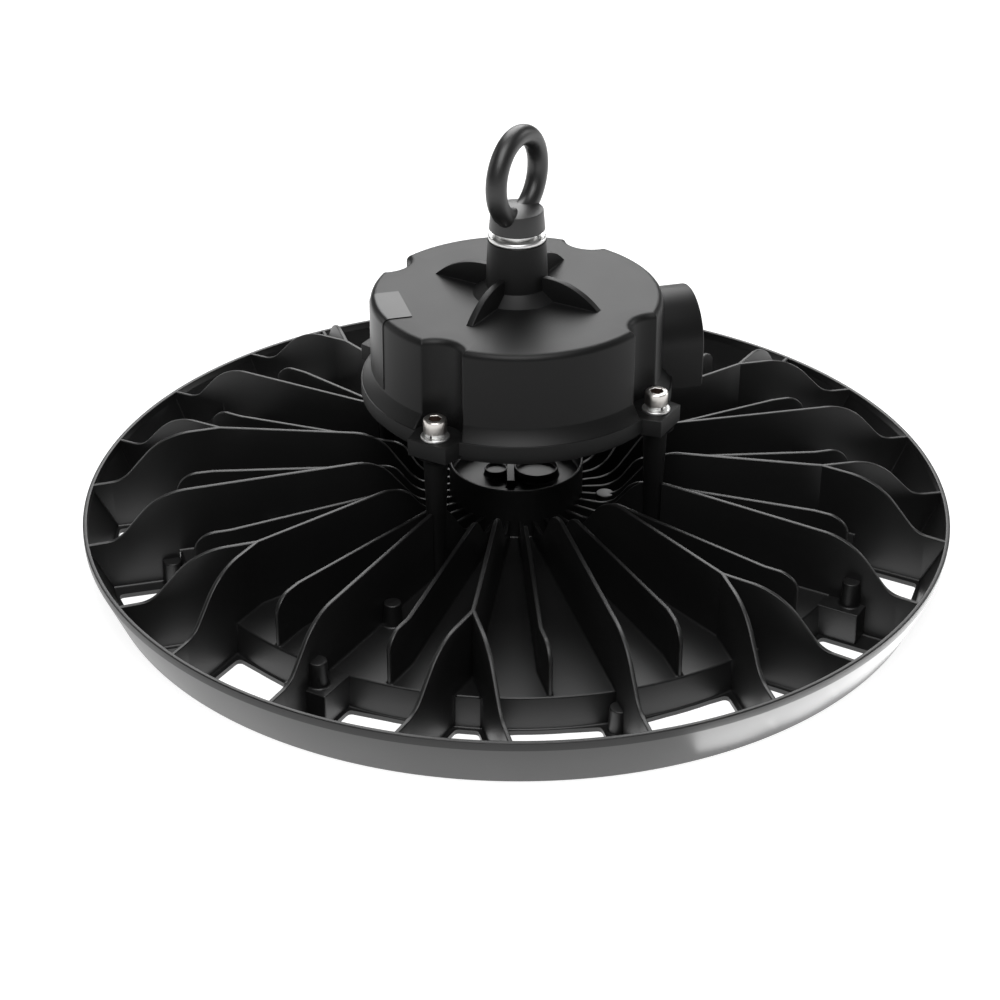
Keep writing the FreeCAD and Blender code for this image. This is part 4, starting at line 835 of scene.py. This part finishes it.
def seen_directly(nodes, links):
    """The glow of the floor as the camera, a reflection or clear plastic shows it. It lights nothing."""
    path = nodes.new("ShaderNodeLightPath")
    first = nodes.new("ShaderNodeMath")
    first.operation = "MAXIMUM"
    links.new(path.outputs["Is Camera Ray"], first.inputs[0])
    links.new(path.outputs["Is Glossy Ray"], first.inputs[1])
    second = nodes.new("ShaderNodeMath")
    second.operation = "MAXIMUM"
    links.new(first.outputs["Value"], second.inputs[0])
    links.new(path.outputs["Is Transmission Ray"], second.inputs[1])
    scaled = nodes.new("ShaderNodeMath")
    scaled.operation = "MULTIPLY"
    scaled.inputs[1].default_value = FLOOR_GLOW
    links.new(second.outputs["Value"], scaled.inputs[0])
    return scaled.outputs["Value"]


floor_mesh = bpy.data.meshes.new("floor")
floor_mesh.from_pydata([(-HALF_FLOOR, -HALF_FLOOR, 0), (HALF_FLOOR, -HALF_FLOOR, 0),
                        (HALF_FLOOR, HALF_FLOOR, 0), (-HALF_FLOOR, HALF_FLOOR, 0)], [], [(0, 1, 2, 3)])
floor = bpy.data.objects.new("floor", floor_mesh)
floor.location.z = -0.0002
bpy.context.scene.collection.objects.link(floor)
floor_mesh.materials.append(white_floor())

world = bpy.data.worlds.new("studio")
bpy.context.scene.world = world
world.use_nodes = True
tree = world.node_tree
tree.nodes.clear()
world_output = tree.nodes.new("ShaderNodeOutputWorld")
surround = tree.nodes.new("ShaderNodeBackground")
surround.inputs["Color"].default_value = (1.0, 1.0, 1.0, 1.0)
surround.inputs["Strength"].default_value = SURROUND
backdrop = tree.nodes.new("ShaderNodeBackground")
backdrop.inputs["Color"].default_value = (1.0, 1.0, 1.0, 1.0)
pick = tree.nodes.new("ShaderNodeMixShader")
light_path = tree.nodes.new("ShaderNodeLightPath")
tree.links.new(light_path.outputs["Is Camera Ray"], pick.inputs["Fac"])
tree.links.new(surround.outputs["Background"], pick.inputs[1])
tree.links.new(backdrop.outputs["Background"], pick.inputs[2])
tree.links.new(pick.outputs["Shader"], world_output.inputs["Surface"])


def softbox(name, place, aim, size, power):
    """A flat lamp at a place, aimed at a point."""
    lamp = bpy.data.lights.new(name, "AREA")
    lamp.shape = "RECTANGLE"
    lamp.size, lamp.size_y = size
    lamp.energy = power
    holder = bpy.data.objects.new(name, lamp)
    holder.location = place
    holder.rotation_euler = (Vector(aim) - Vector(place)).to_track_quat("-Z", "Y").to_euler()
    bpy.context.scene.collection.objects.link(holder)
    return holder


for name, place, size, power in (("back_panel", (0.31, 1.15, 1.17), (1.1, 1.6), 25.0),
                                 ("front_panel", (-0.20, -0.68, 1.34), (0.9, 1.2), 16.0),
                                 ("left_panel", (-1.10, 0.85, 0.62), (0.9, 0.6), 2.0),
                                 ("right_panel", (1.35, 0.30, 0.60), (0.4, 0.5), 2.5)):
    softbox(name, place, MIDDLE, size, power)

# Lamps in the table under the light, which brighten the foot of the rim, most at the right
light_table = softbox("light_table", (0.0, 0.0, -0.0001), (0.0, 0.0, 1.0), (0.426, 0.426), 0.27)
light_table.data.shape = "DISK"
STRIP_REACH = 0.203
for step in range(6):
    turn = math.radians(283.0 + 11.0 * step)
    place = (STRIP_REACH * math.cos(turn), STRIP_REACH * math.sin(turn), 0.0004)
    strip = softbox("table_strip_%d" % step, place, (0.0, 0.0, 0.0), (0.028, 0.038), 0.014)
    strip.rotation_euler = (math.pi, 0.0, turn)

CAMERA = Vector((-0.2287, -0.8254, 0.5131))
TARGET = Vector((-0.00704, 0.00189, 0.0186))
FOCAL_PIXELS = 2161.0
lens_data = bpy.data.cameras.new("camera")
lens_data.sensor_width = 36.0
lens_data.lens = FOCAL_PIXELS * 36.0 / 1000.0
lens_data.clip_start = 0.05
lens_data.clip_end = 30.0
camera = bpy.data.objects.new("camera", lens_data)
camera.location = CAMERA
camera.rotation_euler = (TARGET - CAMERA).to_track_quat("-Z", "Y").to_euler()
bpy.context.scene.collection.objects.link(camera)
bpy.context.scene.camera = camera
bpy.context.scene.view_settings.view_transform = "Standard"
